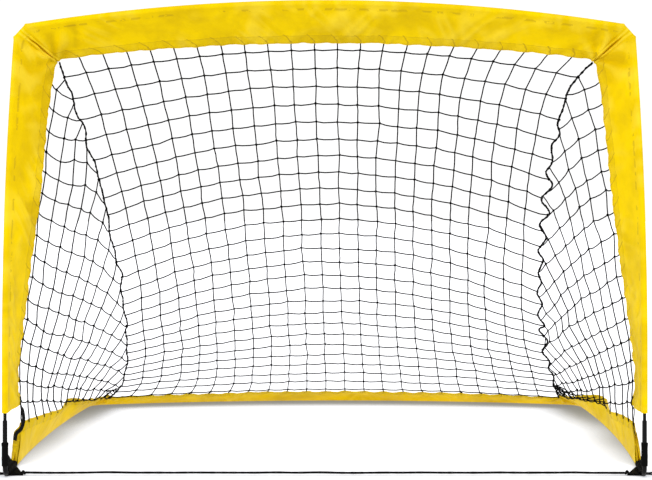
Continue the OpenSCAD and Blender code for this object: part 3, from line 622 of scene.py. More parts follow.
def solid_material(name, colour, rough, metallic=0.0, grain=300.0):
    """Metal or plastic with a fine grain."""
    mat, nodes, surface = material(name, 0.5 if metallic else 0.12, Metallic=metallic)
    place = nodes.place()
    fine, wide = nodes.noise(place, grain), nodes.noise(place, 14.0)
    dark = tuple(c * 0.8 for c in colour)
    nodes.feed(surface["Base Color"], nodes.mix(wide, (*colour, 1), (*dark, 1)))
    nodes.feed(surface["Roughness"], nodes.plus(nodes.times(wide, 0.14), rough - 0.07))
    nodes.feed(surface["Normal"], nodes.bump(fine, 0.00008, 0.6))
    return mat


YELLOW = yellow_material()
THREAD = solid_material("Yellow thread", (0.70, 0.47, 0.010), 0.6)
TWINE = twine_material()
CORD = braid_material()
WEBBING = webbing_material()
ELASTIC = elastic_material()
STEEL = solid_material("Black coated steel", (0.004, 0.004, 0.0045), 0.42, grain=900.0)
FIBREGLASS = solid_material("Black fibreglass", (0.003, 0.003, 0.0035), 0.4, grain=500.0)
ZINC = solid_material("Zinc-plated steel", (0.62, 0.63, 0.64), 0.32, 1.0)
SHOCK = solid_material("Shock cord", (0.05, 0.05, 0.06), 0.7)
PLASTIC = solid_material("Black plastic", (0.01, 0.01, 0.011), 0.42)

# ---- camera ----

camera_data = bpy.data.cameras.new("Camera")
camera = bpy.data.objects.new("Camera", camera_data)
bpy.context.collection.objects.link(camera)
camera.location = (0.073, -2.654, 0.5088)
camera.rotation_euler = (math.pi / 2, 0, 0)
camera_data.sensor_width = 36
camera_data.lens = 63.58
camera_data.shift_x = -0.0567
camera_data.shift_y = -0.0429
camera_data.clip_start, camera_data.clip_end = 0.1, 100
bpy.context.scene.camera = camera

# ---- cords ----

SIDES = ((-1, "left"), (1, "right"))
CORD_D, LOOP_D, KNOT_D = 0.0045, 0.003, 0.009
# The right knot's centre, with y as the depth behind the posts
KNOT = np.array([0.5840, 0.02645, 0.0056])


def lumpy(path, radius, size, seed, pitch=0.011):
    """Radii of a cord that swells and thins a little along its way."""
    return np.array([radius + size * wave(s / pitch, 0, seed) for s in lengths_along(path)])


def resample(path, step):
    """The same way in equal steps."""
    path = np.asarray(path, float)
    d = lengths_along(path)
    at = np.linspace(0, d[-1], max(int(round(d[-1] / step)), 2) + 1)
    return np.array([np.interp(at, d, path[:, k]) for k in range(3)]).T


def curve_through(points, per=8):
    """A smooth line through points, with this many steps from each to the next."""
    p = [np.asarray(x, float) for x in points]
    p = [2 * p[0] - p[1], *p, 2 * p[-1] - p[-2]]
    out = []
    for i in range(1, len(p) - 2):
        for k in range(per):
            t = k / per
            out.append(0.5 * (2 * p[i] + (p[i + 1] - p[i - 1]) * t
                              + (2 * p[i - 1] - 5 * p[i] + 4 * p[i + 1] - p[i + 2]) * t * t
                              + (3 * p[i] - p[i - 1] - 3 * p[i + 1] + p[i + 2]) * t ** 3))
    out.append(p[-2])
    return np.array(out)


def foot_world(side, x, y, z):
    """From a foot's own plan, x outwards across it and y back along its ground leg, to the row frame."""
    c, s = math.cos(splay), math.sin(splay)
    return np.array([side * (POST_X + c * x + s * y), FRONT_Y - s * x + c * y, z])


def knot_piece(name, centre, size):
    """A cord's knot: two crossing wraps over a core."""
    skin = Skin()
    r = CORD_D * 0.42
    reach = size / 2 - r
    for k, tilt in enumerate((0.5, -0.6)):
        ring = [centre + np.array([0.35 * size * (math.sin(a) * tilt + k - 0.5),
                                   math.cos(a) * reach, math.sin(a) * reach])
                for a in np.linspace(0, 2 * math.pi, 15)]
        skin.tube(ring, r, 8, start=(1, 0, 0))
    skin.knob(centre, [size * 0.42, size * 0.36, size * 0.36], np.eye(3), rings=6, sides=10)
    return skin.make(name, CORD)


knots = {}
for side, label in SIDES:
    knots[side] = knot_piece(f"Cord_knot_{label}", world(KNOT * [side, 1, 1]), KNOT_D)
    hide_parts(f"cord_knot_{label}")

# The cord ends just short of its knots, and wavers a little along the ground
reach = KNOT[0] - KNOT_D / 2 - 0.0003
route = np.array([world([x, KNOT[1] + 0.0006 * wave(x * 14, 0, 4),
                         KNOT[2] - 0.0006 + 0.0008 * wave(x * 18, 1, 5)])
                  for x in np.linspace(-reach, reach, 401)])
skin = Skin()
skin.tube(route, lumpy(route, CORD_D / 2, 0.0003, 3), 14)
ground_cord = skin.make("Ground_cord", CORD)
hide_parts("ground_cord")

# A peg loop's way on a foot's own plan, out from the leg and back to it
LOOP = [(0.0051, 0.032), (0.009, 0.0316), (0.015, 0.0308), (0.021, 0.0304), (0.026, 0.0308),
        (0.030, 0.0326), (0.032, 0.036), (0.0316, 0.040), (0.029, 0.043), (0.0245, 0.044),
        (0.019, 0.043), (0.014, 0.0414), (0.009, 0.0404), (0.0051, 0.040)]
loops = {}
for side, label in SIDES:
    line = curve_through([foot_world(side, x, y, LOOP_D / 2 + (0.0006 if 3 < i < 11 else 0.0))
                          for i, (x, y) in enumerate(LOOP)], 6)
    skin = Skin()
    skin.tube(line, lumpy(line, LOOP_D / 2 - 0.0001, 0.0001, 8 + side), 10)
    loops[side] = skin.make(f"Peg_loop_{label}", CORD)
    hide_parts(f"peg_loop_{label}")

# ---- sewn bands ----

# Half of two layers' thickness, how far the inner skin lies in from the outer one, and how deep it
# goes at an open end
HEM_HALF, INSET, INNER_DEEP = 0.0009, 0.0006, 0.012
# The mesh's steps along a band and across it, and the finer ones beside a sewn corner
STEP_ALONG, STEP_ACROSS, STEP_CORNER = 0.004, 0.0042, 0.0011
# Stitches: from each to the next, and how long each is
STITCH_STEP, STITCH_LONG = 0.0048, 0.0034
# How far the nets' strings lie outside the cloth
OUTSIDE = 0.0006


def hump(x, at, reach):
    """1 at a place, falling smoothly to 0 beside it."""
    return math.exp(-((x - at) / reach) ** 2)


class Band:
    """Two layers of cloth round a pole, sewn flat down to a hem. s runs along it, w out from the pole.

    strip is the sewn strip's width, pitch the net's mesh along the hem and start its first string.
    sewn says which ends are sewn to the next band at a bent corner, where bend holds the pole's bend
    radius and about half of the bend's length. A pole comes out of the other ends."""

    def __init__(self, frame_at, length, width, seed, pitch, strip=0.020, start=0.0, sewn=(True, True),
                 crease=0.0012, pucker=0.0010, bend=(ARCH_BEND, 0.029), slant=False):
        self.frame_at, self.length, self.width, self.seed = frame_at, length, width, seed
        self.pitch, self.strip, self.start, self.sewn = pitch, strip, start, sewn
        self.crease, self.pucker, self.bend, self.slant = crease, pucker, bend, slant
        self.ws = list(np.linspace(width, 0.0025, int(round((width - 0.003) / STEP_ACROSS))))

    def corners(self, s):
        """The sewn ends, each with its distance along the band."""
        return [(end, far) for end, far in enumerate((s, self.length - s)) if self.sewn[end]]

    def folds(self, s, w):
        """How far both layers lie off the plane between pole and hem, and how sharply they are folded, which
        sets the painted shade in the folds and the painted highlights on their crests.
        """
        q, ridge = self.seed, 0.0
        d = 0.0040 * wave(s / 0.10, w / 0.07, q)
        for slant, size, k in ((0.75, 1.0, 1), (-0.6, 0.8, 2)):
            fold = size * (1 - abs(wave((s + slant * w) / 0.030, (w - slant * s) / 0.13, q + k)) * 2.2)
            fold *= smooth(wave(s / 0.11, w / 0.07, q + k + 5), -0.25, 0.25)
            d += self.crease * fold
            ridge += fold
        d += 0.00045 * wave(s / 0.011, w / 0.016, q + 3)
        # Folds fan out of each corner, and a double seam crosses there
        for end, far in self.corners(s):
            near = hump(far, 0, 0.075)
            angle = math.atan2(far + 0.010, self.width - w + 0.012)
            fan = math.sin(angle * 13 + q + end) * smooth(w, 0.006, 0.03)
            d += near * (0.0034 * fan + 0.0022 * wave(angle * 5, w / 0.05, q + 14))
            seam = hump(far, 0.0042, 0.0022) - 0.6 * hump(far, 0, 0.0014) - 0.5 * hump(far, 0.0088, 0.0020)
            d += 0.0026 * seam * smooth(w, 0.004, 0.014)
            ridge += near * fan + 1.3 * seam
        # The cloth is taut towards the hem, and puckered in its sewn strip and here and there at the pole
        d *= 1 - 0.6 * smooth(w, self.width * 0.5, self.width)
        hem = smooth(w, self.width - self.strip - 0.010, self.width - self.strip * 0.6)
        small = wave(s / 0.012, w / 0.011, q + 8) + 0.4 * wave(s / 0.005, w / 0.009, q + 9)
        d += hem * (0.0013 * math.cos(2 * math.pi * (s - self.start) / self.pitch) + self.pucker * small)
        pole = hump(w, 0.014, 0.010) * smooth(wave(s / 0.09, 0, q + 20), 0.0, 0.35)
        d += pole * 0.0012 * wave(s / 0.014, w / 0.02, q + 21)
        return d * smooth(w, 0.004, 0.024), ridge

    def tent(self, s):
        """At a bent corner the cloth stands off the pole in two points, with a straight edge between."""
        rise, (radius, half_length) = 0.0, self.bend
        half = half_length / radius
        for _, far in self.corners(s):
            turn = far / radius
            if turn < half:
                rise += (radius + CHANNEL) * (1 / math.cos(min(turn, half - turn)) - 1)
                rise += 0.0012 * hump(turn, half / 2, 0.07)
        return rise

    def edge(self, s):
        """The hem is drawn up at each string of the net."""
        phase = math.pi * (s - self.start) / self.pitch
        return 0.0009 * abs(math.sin(phase)) - 0.0006 + 0.0005 * wave(s / 0.02, 0, self.seed + 9)

    def half(self, w):
        """Half of the thickness at w: round over the pole, two flat layers at the hem."""
        line = self.width - self.strip
        h = HEM_HALF + (CHANNEL - HEM_HALF) * (1 - min(w / self.width, 1)) ** 1.35
        return h + 0.00035 * smooth(w, line, line + 0.001) - 0.0006 * hump(w, line, 0.0011)

    def axes(self, s):
        """The pole's centre, the way from there to the hem, and the directions out and off the cloth."""
        p, t, hem = self.frame_at(s)
        out = unit(hem - p - ((hem - p) @ t) * t)
        return p, hem - p, out, np.cross(t, out)

    def point(self, s, w, layer, off=0.0):
        """A place on the front layer, 1, or the back layer, -1, or between them, 0."""
        p, flat, _, up = self.axes(s)
        reach = w * (1 + self.edge(s) / self.width * smooth(w, self.width * 0.6, self.width))
        # A front end folded slantwise reaches further than the band is wide
        reach /= self.width if self.slant else np.linalg.norm(flat)
        ruck = 0.00025 * wave(s / 0.018, w / 0.014, self.seed + 12 + layer) * smooth(w, 0.01, 0.03)
        return p + flat * reach + up * (layer * (self.half(w) + off) + self.folds(s, w)[0] + ruck)

    def ring(self, s, inset=0.0):
        """The band's section: front layer, round the pole, back layer and the outer skin's folded edge."""
        p, _, out, up = self.axes(s)
        front = [self.point(s, w, 1, -inset) for w in self.ws]
        back = [self.point(s, w, -1, -inset) for w in self.ws[::-1]]
        r, low, rise = CHANNEL - inset, math.acos(min(self.ws[-1] / CHANNEL, 1)), self.tent(s)
        arc = [p + r * (math.cos(a) * out + math.sin(a) * up) + rise * min(math.cos(a), 0) * out
               for a in np.linspace(low, 2 * math.pi - low, 12)[1:-1]]
        tip = [] if inset else [self.point(s, self.width + 0.0006, 0)]
        return front + arc + back + tip

    def build(self, name):
        ss = set(np.linspace(0, self.length, int(round(self.length / STEP_ALONG)) + 1))
        for end in (0, 1):
            if self.sewn[end]:
                ss |= {abs(end * self.length - x) for x in np.arange(1, 14) * STEP_CORNER}
        ss = sorted(ss)
        rows = [self.ring(s) for s in ss]
        skin, m = Skin(), len(rows[0])
        base = skin.grid(rows, ss, lengths_along([*rows[0], rows[0][0]]), closed=True)
        # Share of a mesh along the band, and distance from the hem in widths of its sewn strip
        ups = [*self.ws, *[0.0] * (m - 1 - 2 * len(self.ws)), *self.ws[::-1], self.width]
        for i, s in enumerate(ss):
            for k, w in enumerate(ups, base + i * m):
                skin.hems[k] = ((s - self.start) / self.pitch, (self.width - w) / self.strip)
                skin.ridges[k] = self.folds(s, w)[1]
        self.close(skin, 0, base, m)
        self.close(skin, 1, base + (len(ss) - 1) * m, m)
        return skin.make(name, YELLOW)

    def close(self, skin, end, first, m):
        """Close an end. Where the pole comes out, an inner skin leads a little way in first."""
        def face(*ring):
            skin.face(ring if end else ring[::-1])

        tip = first + m - 1
        ring = range(first, tip)
        if self.sewn[end]:
            face(tip, ring[0], ring[-1])
        else:
            for off in (0.0, -INNER_DEEP if end else INNER_DEEP):
                k = len(skin.points)
                skin.points.extend(self.ring(end * self.length + off, INSET))
                new = range(k, len(skin.points))
                if off:
                    face(ring[-1], ring[0], new[0], new[-1])
                else:
                    face(tip, ring[0], new[0], new[-1], ring[-1])
                for a in range(len(ring) - 1):
                    face(ring[a], ring[a + 1], new[a + 1], new[a])
                ring = new
        for a in range(len(ring) // 2 - 1):
            face(ring[a], ring[a + 1], ring[-2 - a], ring[-1 - a])

    def stitches(self, skin, w, layer):
        """One row of lockstitches along the band."""
        s = STITCH_STEP
        while s < self.length - STITCH_STEP:
            a, b = (self.point(s + x, w, layer, 0.0001) for x in (-STITCH_LONG / 2, STITCH_LONG / 2))
            top = self.point(s, w, layer, 0.00035)
            rise = (top - (a + b) / 2) * 0.3
            skin.tube([a, (a + top) / 2 + rise, top, (b + top) / 2 + rise, b],
                      [0.0001, 0.00032, 0.00036, 0.00032, 0.0001], 5)
            s += STITCH_STEP


# Frame functions give the pole's centre, its direction and the hem, at a distance along a band


def mirrored(frame_at, side):
    """A frame function for the other half: the tangent turns round, so that the sides stay the same."""
    flip = np.array([side, 1, 1])

    def other(s):
        p, t, hem = frame_at(s)
        return p * flip, t * flip * side, hem * flip
    return other


def across(frame_at, half):
    """A frame function from the right corner to the left one, from its right half."""
    left = mirrored(frame_at, -1)

    def whole(s):
        return frame_at(s) if s <= half else left(2 * half - s)
    return whole


def on_arch(s):
    q, a = track_at(ARCH, s)
    return world([q[0], 0, q[1]]), np.array([math.cos(a), 0, math.sin(a)])


def on_base(s):
    q, a = track_at(BASE, s)
    return world([q[0], q[1], BASE_Z]), np.array([math.cos(a), math.sin(a), 0])


bar_half, rear_half = arch_end - arch_mitre, base_end - rear_mitre
post_len, side_len = arch_mitre - SLEEVE_START, rear_mitre - SIDE_START


def post_frame(s):
    z = SLEEVE_START + s / post_len * (arch_corner_z - SLEEVE_START)
    return *on_arch(SLEEVE_START + s), world(post_hem(z, ARCH_BAND))


def bar_frame(s):
    return *on_arch(arch_mitre + s), world(bar_hem(1 - s / bar_half, ARCH_BAND))


def side_frame(side):
    """The base sleeve's front end slips over the end of the foot's ground leg."""
    def at(s):
        y = HEM_START + s / side_len * (base_corner_y - HEM_START)
        return *on_base(SIDE_START + s), world(side_hem(y, BASE_BAND, side))
    return at


def rear_frame(s):
    return *on_base(rear_mitre + s), world(rear_hem(1 - s / rear_half, BASE_BAND))


# The net's strings leave the hems at these places
STRINGS, SIDE_STRINGS, SIDE_MESH = 22, 16, 0.0425
string_u = [-1 + 2 * (i + 1) / (STRINGS + 1) for i in range(STRINGS)]


def side_string(i):
    """Where the side net's strings leave the side bands' hems, as a distance along the band."""
    return (0.005 + i * SIDE_MESH) / (base_corner_y - HEM_START) * side_len


# Each band, with its node, its body and the poles in it
rear_bend = (REAR_BEND, track_len(BASE[1:2]) / 2)
BANDS = {
    "crossbar": (Band(across(bar_frame, bar_half), 2 * bar_half, ARCH_BAND, 3,
                      2 * bar_half / (STRINGS + 1), crease=0.0038, pucker=0.0017),
                 "crossbar_sleeve", "arch", ["crossbar_pole_left", "crossbar_pole_right"]),
    "rear": (Band(across(rear_frame, rear_half), 2 * rear_half, BASE_BAND, 5,
                  2 * rear_half / (STRINGS + 1), strip=0.017, crease=0.0014, bend=rear_bend),
             "base_sleeve_rear", "base", ["base_pole_rear_left", "base_pole_rear_right"])}
for side, label in SIDES:
    BANDS[f"post {label}"] = (
        Band(mirrored(post_frame, side), post_len, ARCH_BAND, 21 + side, post_len / SIDE_STRINGS,
             start=0.012, sewn=(False, True), crease=0.0032, pucker=0.0020),
        f"post_sleeve_{label}", "arch", [f"post_pole_lower_{label}", f"post_pole_upper_{label}"])
    BANDS[f"side {label}"] = (
        Band(mirrored(side_frame(side), side), side_len, BASE_BAND, 31 + side,
             side_string(1) - side_string(0), strip=0.017, start=side_string(0), sewn=(False, True),
             crease=0.0016, bend=rear_bend, slant=True),
        f"base_sleeve_{label}", "base", [f"base_pole_front_{label}", f"base_pole_side_{label}"])
# The side bands' front ends, turned outwards: four corners of each, in millimetres, with the depth
# behind the posts: pole, top of the fold, top of the end, foot of the end
FLAPS = {"side left": ((-621, 107, 9), (-625.5, 163, 76), (-633, 129, 64), (-636, 121, 4)),
         "side right": ((622, 107, 9), (626, 166, 75), (628.5, 134, 58), (636, 130, 4))}


def flap(name, corners, seed):
    """A turned-over end of cloth between two slanting edges."""
    a, b, c, d = (world(np.array(p) / 1000) for p in corners)
    away = unit(np.cross(b - a, d - a))
    away *= -1 if away[1] > 0 else 1
    shares, last = np.linspace(0, 1, 15), 14

    def place(t, r, off):
        bow = 0.0035 * math.sin(math.pi * r) * math.sin(math.pi * t) + 0.0012 * wave(t * 5, r * 3, seed) * r
        return (1 - r) * (a + (b - a) * t) + r * (d + (c - d) * t) + away * (bow + off)

    front, back = ([[place(t, r, off) for r in shares] for t in shares] for off in (0.0006, -0.0006))
    skin, at, left = Skin(), shares * 0.07, a[0] < 0
    skin.grid(front, at, at, flip=left)
    skin.grid(back, at, at, flip=not left)
    rim = [(0, k) for k in range(last)] + [(i, last) for i in range(last)]
    rim += [(last - i, last - k) for i, k in rim]
    skin.grid([[face[i][k] for i, k in rim] for face in (front, back)], [0, 0.001],
              [0.005 * i for i in range(len(rim) + 1)], closed=True, flip=left)
    obj = skin.make(name, YELLOW)
    join_edges(obj, turn_out=True)
    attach(obj, "base")
    return obj


for key, (band, node, body, poles) in BANDS.items():
    name = key.capitalize().replace(" ", "_")
    obj = band.build(f"{name}_sleeve")
    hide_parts(node)
    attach(obj, body)
    skin = Skin()
    for layer in (1, -1):
        for w in (band.width - band.strip, band.width - 0.003):
            band.stitches(skin, w, layer)
    sewn = skin.make(f"{name}_stitching", THREAD)
    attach(sewn, body)
    if key in FLAPS:
        flap(f"{name}_end", FLAPS[key], len(key))
bands = {key: row[0] for key, row in BANDS.items()}

# ---- nets ----

TWINE_R = 0.0014


def strand(skin, points, droop, seed):
    """A string through knots, hanging a little between them."""
    line = []
    for i, (a, b) in enumerate(zip(points, points[1:])):
        for t in (0, 1 / 3, 2 / 3):
            bow = 4 * t * (1 - t)
            sway = np.array([wave(i * 3.1 + t * 2, j, seed) for j in (0, 1, 2)]) * 0.0016
            line.append(a + (b - a) * t + (sway - [0, 0, droop]) * bow)
    skin.tube([*line, points[-1]], TWINE_R)


def tie(skin, p, size=0.0026):
    skin.knob(p, np.array([1.25, 0.95, 0.9]) * size * (0.9 + 0.25 * RNG.random()), random_turn())


row_v = [0.015 + 0.0388 * j for j in range(26)]
edge_v = [v + float(np.interp(v, DROP_V, DROP)) for v in row_v]


def net_point(u, v, seed):
    """A knot of the back net, with the small unevenness of a hung net."""
    v = v + float(np.interp(v, DROP_V, DROP)) * u * u
    calm = min(1, (1 - abs(u)) * 8) * min(1, v * 12, (1 - v) * 12)
    off = np.array([wave(u * 6, v * 7, seed + k) for k in range(3)]) * [0.0030, 0.0035, 0.0028]
    return world(back_surface(u, v)) + (off + RNG.normal(size=3) * 0.0009) * calm


def seam_line(side):
    """The corner seam's shares and places, drawn in and out in turn by the rows of the two nets."""
    shares, points = [0.0], [world(back_surface(side, 0.0))]
    count, size = KINKS[side]
    for k in range(1, count):
        v = (k + 0.6 * wave(k * 1.7, side, 81)) / count
        kink = size * (-1) ** k * (0.65 + 1.8 * wave(k * 0.7, side, 82)) * min(1, 6 * v, 6 * (1 - v))
        points.append(world(back_surface(side, v)) - [side * kink / 1000, 0, 0])
        shares.append(v)
    return [*shares, 1.0], np.array([*points, world(back_surface(side, 1.0))])


seams = {side: seam_line(side) for side in (-1, 1)}


def seam_at(side, v):
    shares, points = seams[side]
    return np.array([np.interp(v, shares, points[:, k]) for k in range(3)])


skin = Skin()
knots_at = [[net_point(u, v, 40) for u in string_u] for v in row_v]
for j, row in enumerate(knots_at):
    strand(skin, [seam_at(-1, edge_v[j]), *row, seam_at(1, edge_v[j])], 0.0016, 60 + j)
    for p in row:
        tie(skin, p)
for i, u in enumerate(string_u):
    top = bands["crossbar"].point(bar_half * (1 - u), ARCH_BAND - 0.004, -1, OUTSIDE)
    low = bands["rear"].point(rear_half * (1 - u), BASE_BAND - 0.006, 1, OUTSIDE)
    strand(skin, [top, *(row[i] for row in knots_at), low], 0.0004, 90 + i)
back_net = skin.make("Back_net", TWINE)
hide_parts("back_net")


def side_net(side, label):
    skin = Skin()
    post, base_band = bands[f"post {label}"], bands[f"side {label}"]
    grid, shares = {}, [0.0]
    for j in range(SIDE_ROWS):
        s = (HEM_TOP - HEM_STEP * j - SLEEVE_START) / (arch_corner_z - SLEEVE_START) * post_len
        start = post.point(max(s, 0.004), ARCH_BAND - 0.004, -1, OUTSIDE)
        share, out, up, turn_out, turn_up = (
            float(np.interp(j, AT_ROWS, table[side]))
            for table in (ROW_ENDS, ROW_OUT, ROW_UP, HALVES_OUT, HALVES_UP))
        end = seam_at(side, share)
        for i in range(j + 1):
            t = (FIRST_STRING[side] + i) / (j + 0.7 + FIRST_STRING[side])
            arch, half = 0.004 * t * (1 - t), 2 * t - 1
            uneven = [0.006 * wave(i * 0.8, j * 0.9, 45 + side + k) for k in (0, 7, 14)]
            grid[i, j] = start + (end - start) * t + arch * np.array(
                [side * (out + turn_out * half), 0, up + turn_up * half]) + uneven
        strand(skin, [start, *(grid[i, j] for i in range(j + 1)), end], 0.0028, 130 + j + 40 * side)
        shares.append(share)
    for i in range(SIDE_STRINGS):
        low = base_band.point(side_string(i), BASE_BAND - 0.005, -1, OUTSIDE)
        top = seam_at(side, shares[i] + (0.15 if i else 0.45) * (shares[i + 1] - shares[i]))
        line = [low, *(grid[i, j] for j in range(SIDE_ROWS - 1, i - 1, -1)), top]
        strand(skin, line, 0.0006, 170 + i + 40 * side)
    for p in grid.values():
        tie(skin, p)
    # Slack string gathers in small loops where the seam meets the base
    for k in range(6 if side > 0 else 3):
        a = seam_at(side, 0.93 + 0.01 * k + (0.04 if side < 0 else 0))
        b = base_band.point(side_string(15.0 - 1.1 * k), BASE_BAND - 0.008, -1, 0.0012)
        way = [a + (b - a) * t + (RNG.normal(size=3) * [0.004, 0.008, 0.004] + [0, 0, 0.008])
               * math.sin(math.pi * t) for t in np.linspace(0, 1, 7)]
        skin.tube(curve_through(way, 4), TWINE_R)
    obj = skin.make(f"Side_net_{label}", TWINE)
    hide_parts(f"side_net_{label}")
    return obj


def seam_cord(side, label):
    line = resample(curve_through(seams[side][1], 6), 0.0022)
    skin = Skin()
    radius = 0.0017 if side < 0 else 0.0020
    skin.tube(line, lumpy(line, radius, 0.0006, 77 + side, 0.006), 9)
    # The lashing that joins the nets' edges runs round the seam in long turns
    around = []
    for i, (p, t) in enumerate(zip(line, np.gradient(line, axis=0))):
        t, a = unit(t), i * 0.55
        level = unit(np.cross(t, [0, 0, 1.0]))
        around.append(p + (radius + 0.0004) * (math.cos(a) * level + math.sin(a) * np.cross(t, level)))
    skin.tube(around, 0.0006, 5)
    for v in edge_v:
        tie(skin, seam_at(side, v), 0.0030)
    obj = skin.make(f"Seam_cord_{label}", CORD)
    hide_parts(f"seam_cord_{label}")
    return obj


side_nets = [side_net(side, label) for side, label in SIDES]
seam_cords = [seam_cord(side, label) for side, label in SIDES]

# ---- gussets ----

LEG_R = TUBE_D / 2 + 0.0003
CUFF_R = LEG_R + 0.0008
PANEL_WIDE, PANEL_TURN = 0.030, 0.026
CLOTH_HALF = 0.0006


def web(skin, side, seed):
    """Two layers between the foot's legs, from its inner curve to the sloping free edge."""
    near, bend = CUFF_R - 0.0004, (FOOT_BEND, BASE_Z + FOOT_BEND)
    inner = [(near, z, 0) for z in (GUSSET_H - 0.001, 0.052, 0.038, bend[1] + 0.001)]
    inner += [(*circle_point(bend, FOOT_BEND - near, a), 0)
              for a in np.linspace(math.pi, 1.5 * math.pi, 9)[1:]]
    inner += [(x, BASE_Z + near, 0) for x in (0.034, 0.050, 0.066, 0.082, GUSSET_LEN - 0.001)]
    inner = resample(inner, 0.0035)[:, :2]
    top, foot = np.array([CUFF_R, GUSSET_H]), np.array([GUSSET_LEN, BASE_Z + CUFF_R + 0.001])
    for face in (1, -1):
        rows = []
        for t, near_leg in zip(np.linspace(0, 1, len(inner)), inner):
            free = top + (foot - top) * t - np.array([0.005, 0.008]) * 4 * t * (1 - t)
            loose = math.sin(math.pi * min(max(t, 0.02), 0.98)) ** 0.5
            row = []
            for b in np.linspace(0, 1, 12):
                x, y = near_leg + (free - near_leg) * b
                z = 0.0030 * wave(x / 0.018, y / 0.013, seed)
                z += 0.0016 * (1 - 2 * abs(wave((x + y) / 0.009, (x - y) / 0.03, seed + 2)))
                z *= loose * min(1, b * 3)
                if 0 < b < 1:
                    z += face * CLOTH_HALF * (1 + 0.6 * smooth(b, 0.86, 0.9))
                row.append(foot_world(side, z, x, y))
            rows.append(row)
        skin.grid(rows, np.arange(len(inner)) * 0.0035, np.linspace(0, 0.03, 12), flip=(face * side > 0))


def cuff(skin, side, seed, path, level):
    """A sleeve round one leg, rucked outside, with a thicker hem at its free end."""
    angles = np.arange(18) * 2 * math.pi / 18

    def spot(x, y, r, a):
        up = r * math.cos(a)
        x, y = (x, max(y + up, 0.0003)) if level else (x + up, y)
        return foot_world(side, r * math.sin(a), x, y)

    outside, inside = [], []
    for i, (x, y) in enumerate(path):
        hem = 0.0005 if (i >= len(path) - 2 if level else i < 2) else 0
        rucks = [abs(wave(i * 0.45, 3 * math.cos(a), seed + level + 4, 3 * math.sin(a))) for a in angles]
        outside.append([spot(x, y, CUFF_R + 0.0003 + hem + 0.0007 * k, a) for k, a in zip(rucks, angles)])
        inside.append([spot(x, y, LEG_R, a) for a in angles])
    us, vs = np.arange(len(path)) * 0.005, np.arange(19) * 0.002
    face_out = (side > 0) == level
    skin.grid([inside[0], *outside, inside[-1]], [0, *us, us[-1]], vs, closed=True, flip=not face_out)
    skin.grid(inside, us, vs, closed=True, flip=face_out)


def panel(skin, side, seed):
    """The crumpled piece on the ground, from the leg out to an edge that slants in behind."""
    top, low = [], []
    for y in np.linspace(FOOT_BEND, GUSSET_LEN, 25) - 0.0005:
        edge = -PANEL_WIDE + 0.0255 * max(y - PANEL_TURN, 0) / (GUSSET_LEN - PANEL_TURN)
        top.append([])
        low.append([])
        for b in np.linspace(0, 1, 12):
            x = edge * b
            rise = 0.0012 * (wave(x / 0.012, y / 0.012, seed + 9) + 0.4)
            rise += 0.0010 * (1 - 2 * abs(wave((x + y) / 0.01, (x - y) / 0.02, seed + 6)))
            rise *= math.sin(math.pi * min(b + 0.12, 1)) ** 0.5
            top[-1].append(foot_world(side, x, y, max(0.0011 + rise, 0.0007)))
            low[-1].append(foot_world(side, x, y, 0.0002))
    us, vs = np.arange(25) * 0.0033, np.arange(12) * 0.0027
    skin.grid(top, us, vs, flip=side > 0)
    skin.grid(low, us, vs, flip=side < 0)
    for a, b in ((top[0], low[0]), (low[-1], top[-1]), ([r[-1] for r in top], [r[-1] for r in low]),
                 ([r[0] for r in low], [r[0] for r in top])):
        skin.grid([a, b], [0, 0.001], np.arange(len(a)) * 0.003, flip=side < 0)


def gusset(side, label):
    skin, seed = Skin(), 51 + side
    web(skin, side, seed)
    cuff(skin, side, seed, [(0.0, z) for z in np.linspace(GUSSET_H, BASE_Z + FOOT_BEND - 0.002, 12)], False)
    cuff(skin, side, seed, [(x, BASE_Z) for x in np.linspace(FOOT_BEND - 0.002, GUSSET_LEN, 18)], True)
    panel(skin, side, seed)
    obj = skin.make(f"Gusset_{label}", WEBBING)
    join_edges(obj)
    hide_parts(f"gusset_{label}")
    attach(obj, "base")


for side, label in SIDES:
    gusset(side, label)

# ---- elastic straps ----

# Each strap below the post's sleeve, in millimetres, with the depth behind the posts
STRAP_WAY = {-1: [(-608.6, 105, 112.5), (-608.3, 112, 93), (-615, 119, 73.5), (-626.5, 123.5, 62),
                  (-630, 125, 48)],
             1: [(616, 104, 112.5), (617.5, 115, 94), (620.5, 130, 77), (622.5, 135, 66), (624, 131, 57)]}
# How far each turns from edge-on to the front, in degrees, and half its width and thickness
STRAP_TURN = {-1: 62, 1: 14}
STRAP_HALF, STRAP_THICK = 0.0048, 0.0007
# Its section, in shares of those
half_section = [(-1, -0.5), (-0.93, -1), (-0.4, -1.06), (0.4, -1.06), (0.93, -1), (1, -0.5)]
SECTION = half_section + [(-x, -y) for x, y in half_section]


def strap(side, label):
    tops = [bands[f"post {label}"].point(x, ARCH_BAND - 0.006, 1, 0.0010) for x in (0.018, 0.002)]
    line = resample(curve_through(tops + [world(np.array(p) / 1000) for p in STRAP_WAY[side]], 6), 0.0022)
    rows = []
    for share, p, t in zip(np.linspace(0, 1, len(line)), line, np.gradient(line, axis=0)):
        t = unit(t)
        lie = math.radians(STRAP_TURN[side]) * smooth(share, 0.05, 0.35)
        wide = unit(np.array([side * math.sin(lie), math.cos(lie), 0]))
        wide = unit(wide - (wide @ t) * t)
        half = STRAP_HALF * (1 - 0.12 * math.sin(math.pi * share))
        rows.append([p + wide * half * x + np.cross(t, wide) * STRAP_THICK * y for x, y in SECTION])
    skin, m = Skin(), len(SECTION)
    vs = [0, 0.0006, 0.003, 0.006, 0.009, 0.0096, 0.0103, 0.011, 0.0135, 0.0165, 0.0195, 0.0201, 0.0208]
    skin.grid(rows, np.arange(len(rows)) * 0.0022, vs, closed=True)
    skin.face(range(m - 1, -1, -1))
    skin.face(range((len(rows) - 1) * m, len(rows) * m))
    obj = skin.make(f"Strap_{label}", ELASTIC)
    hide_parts(f"strap_{label}")
    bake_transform(obj)


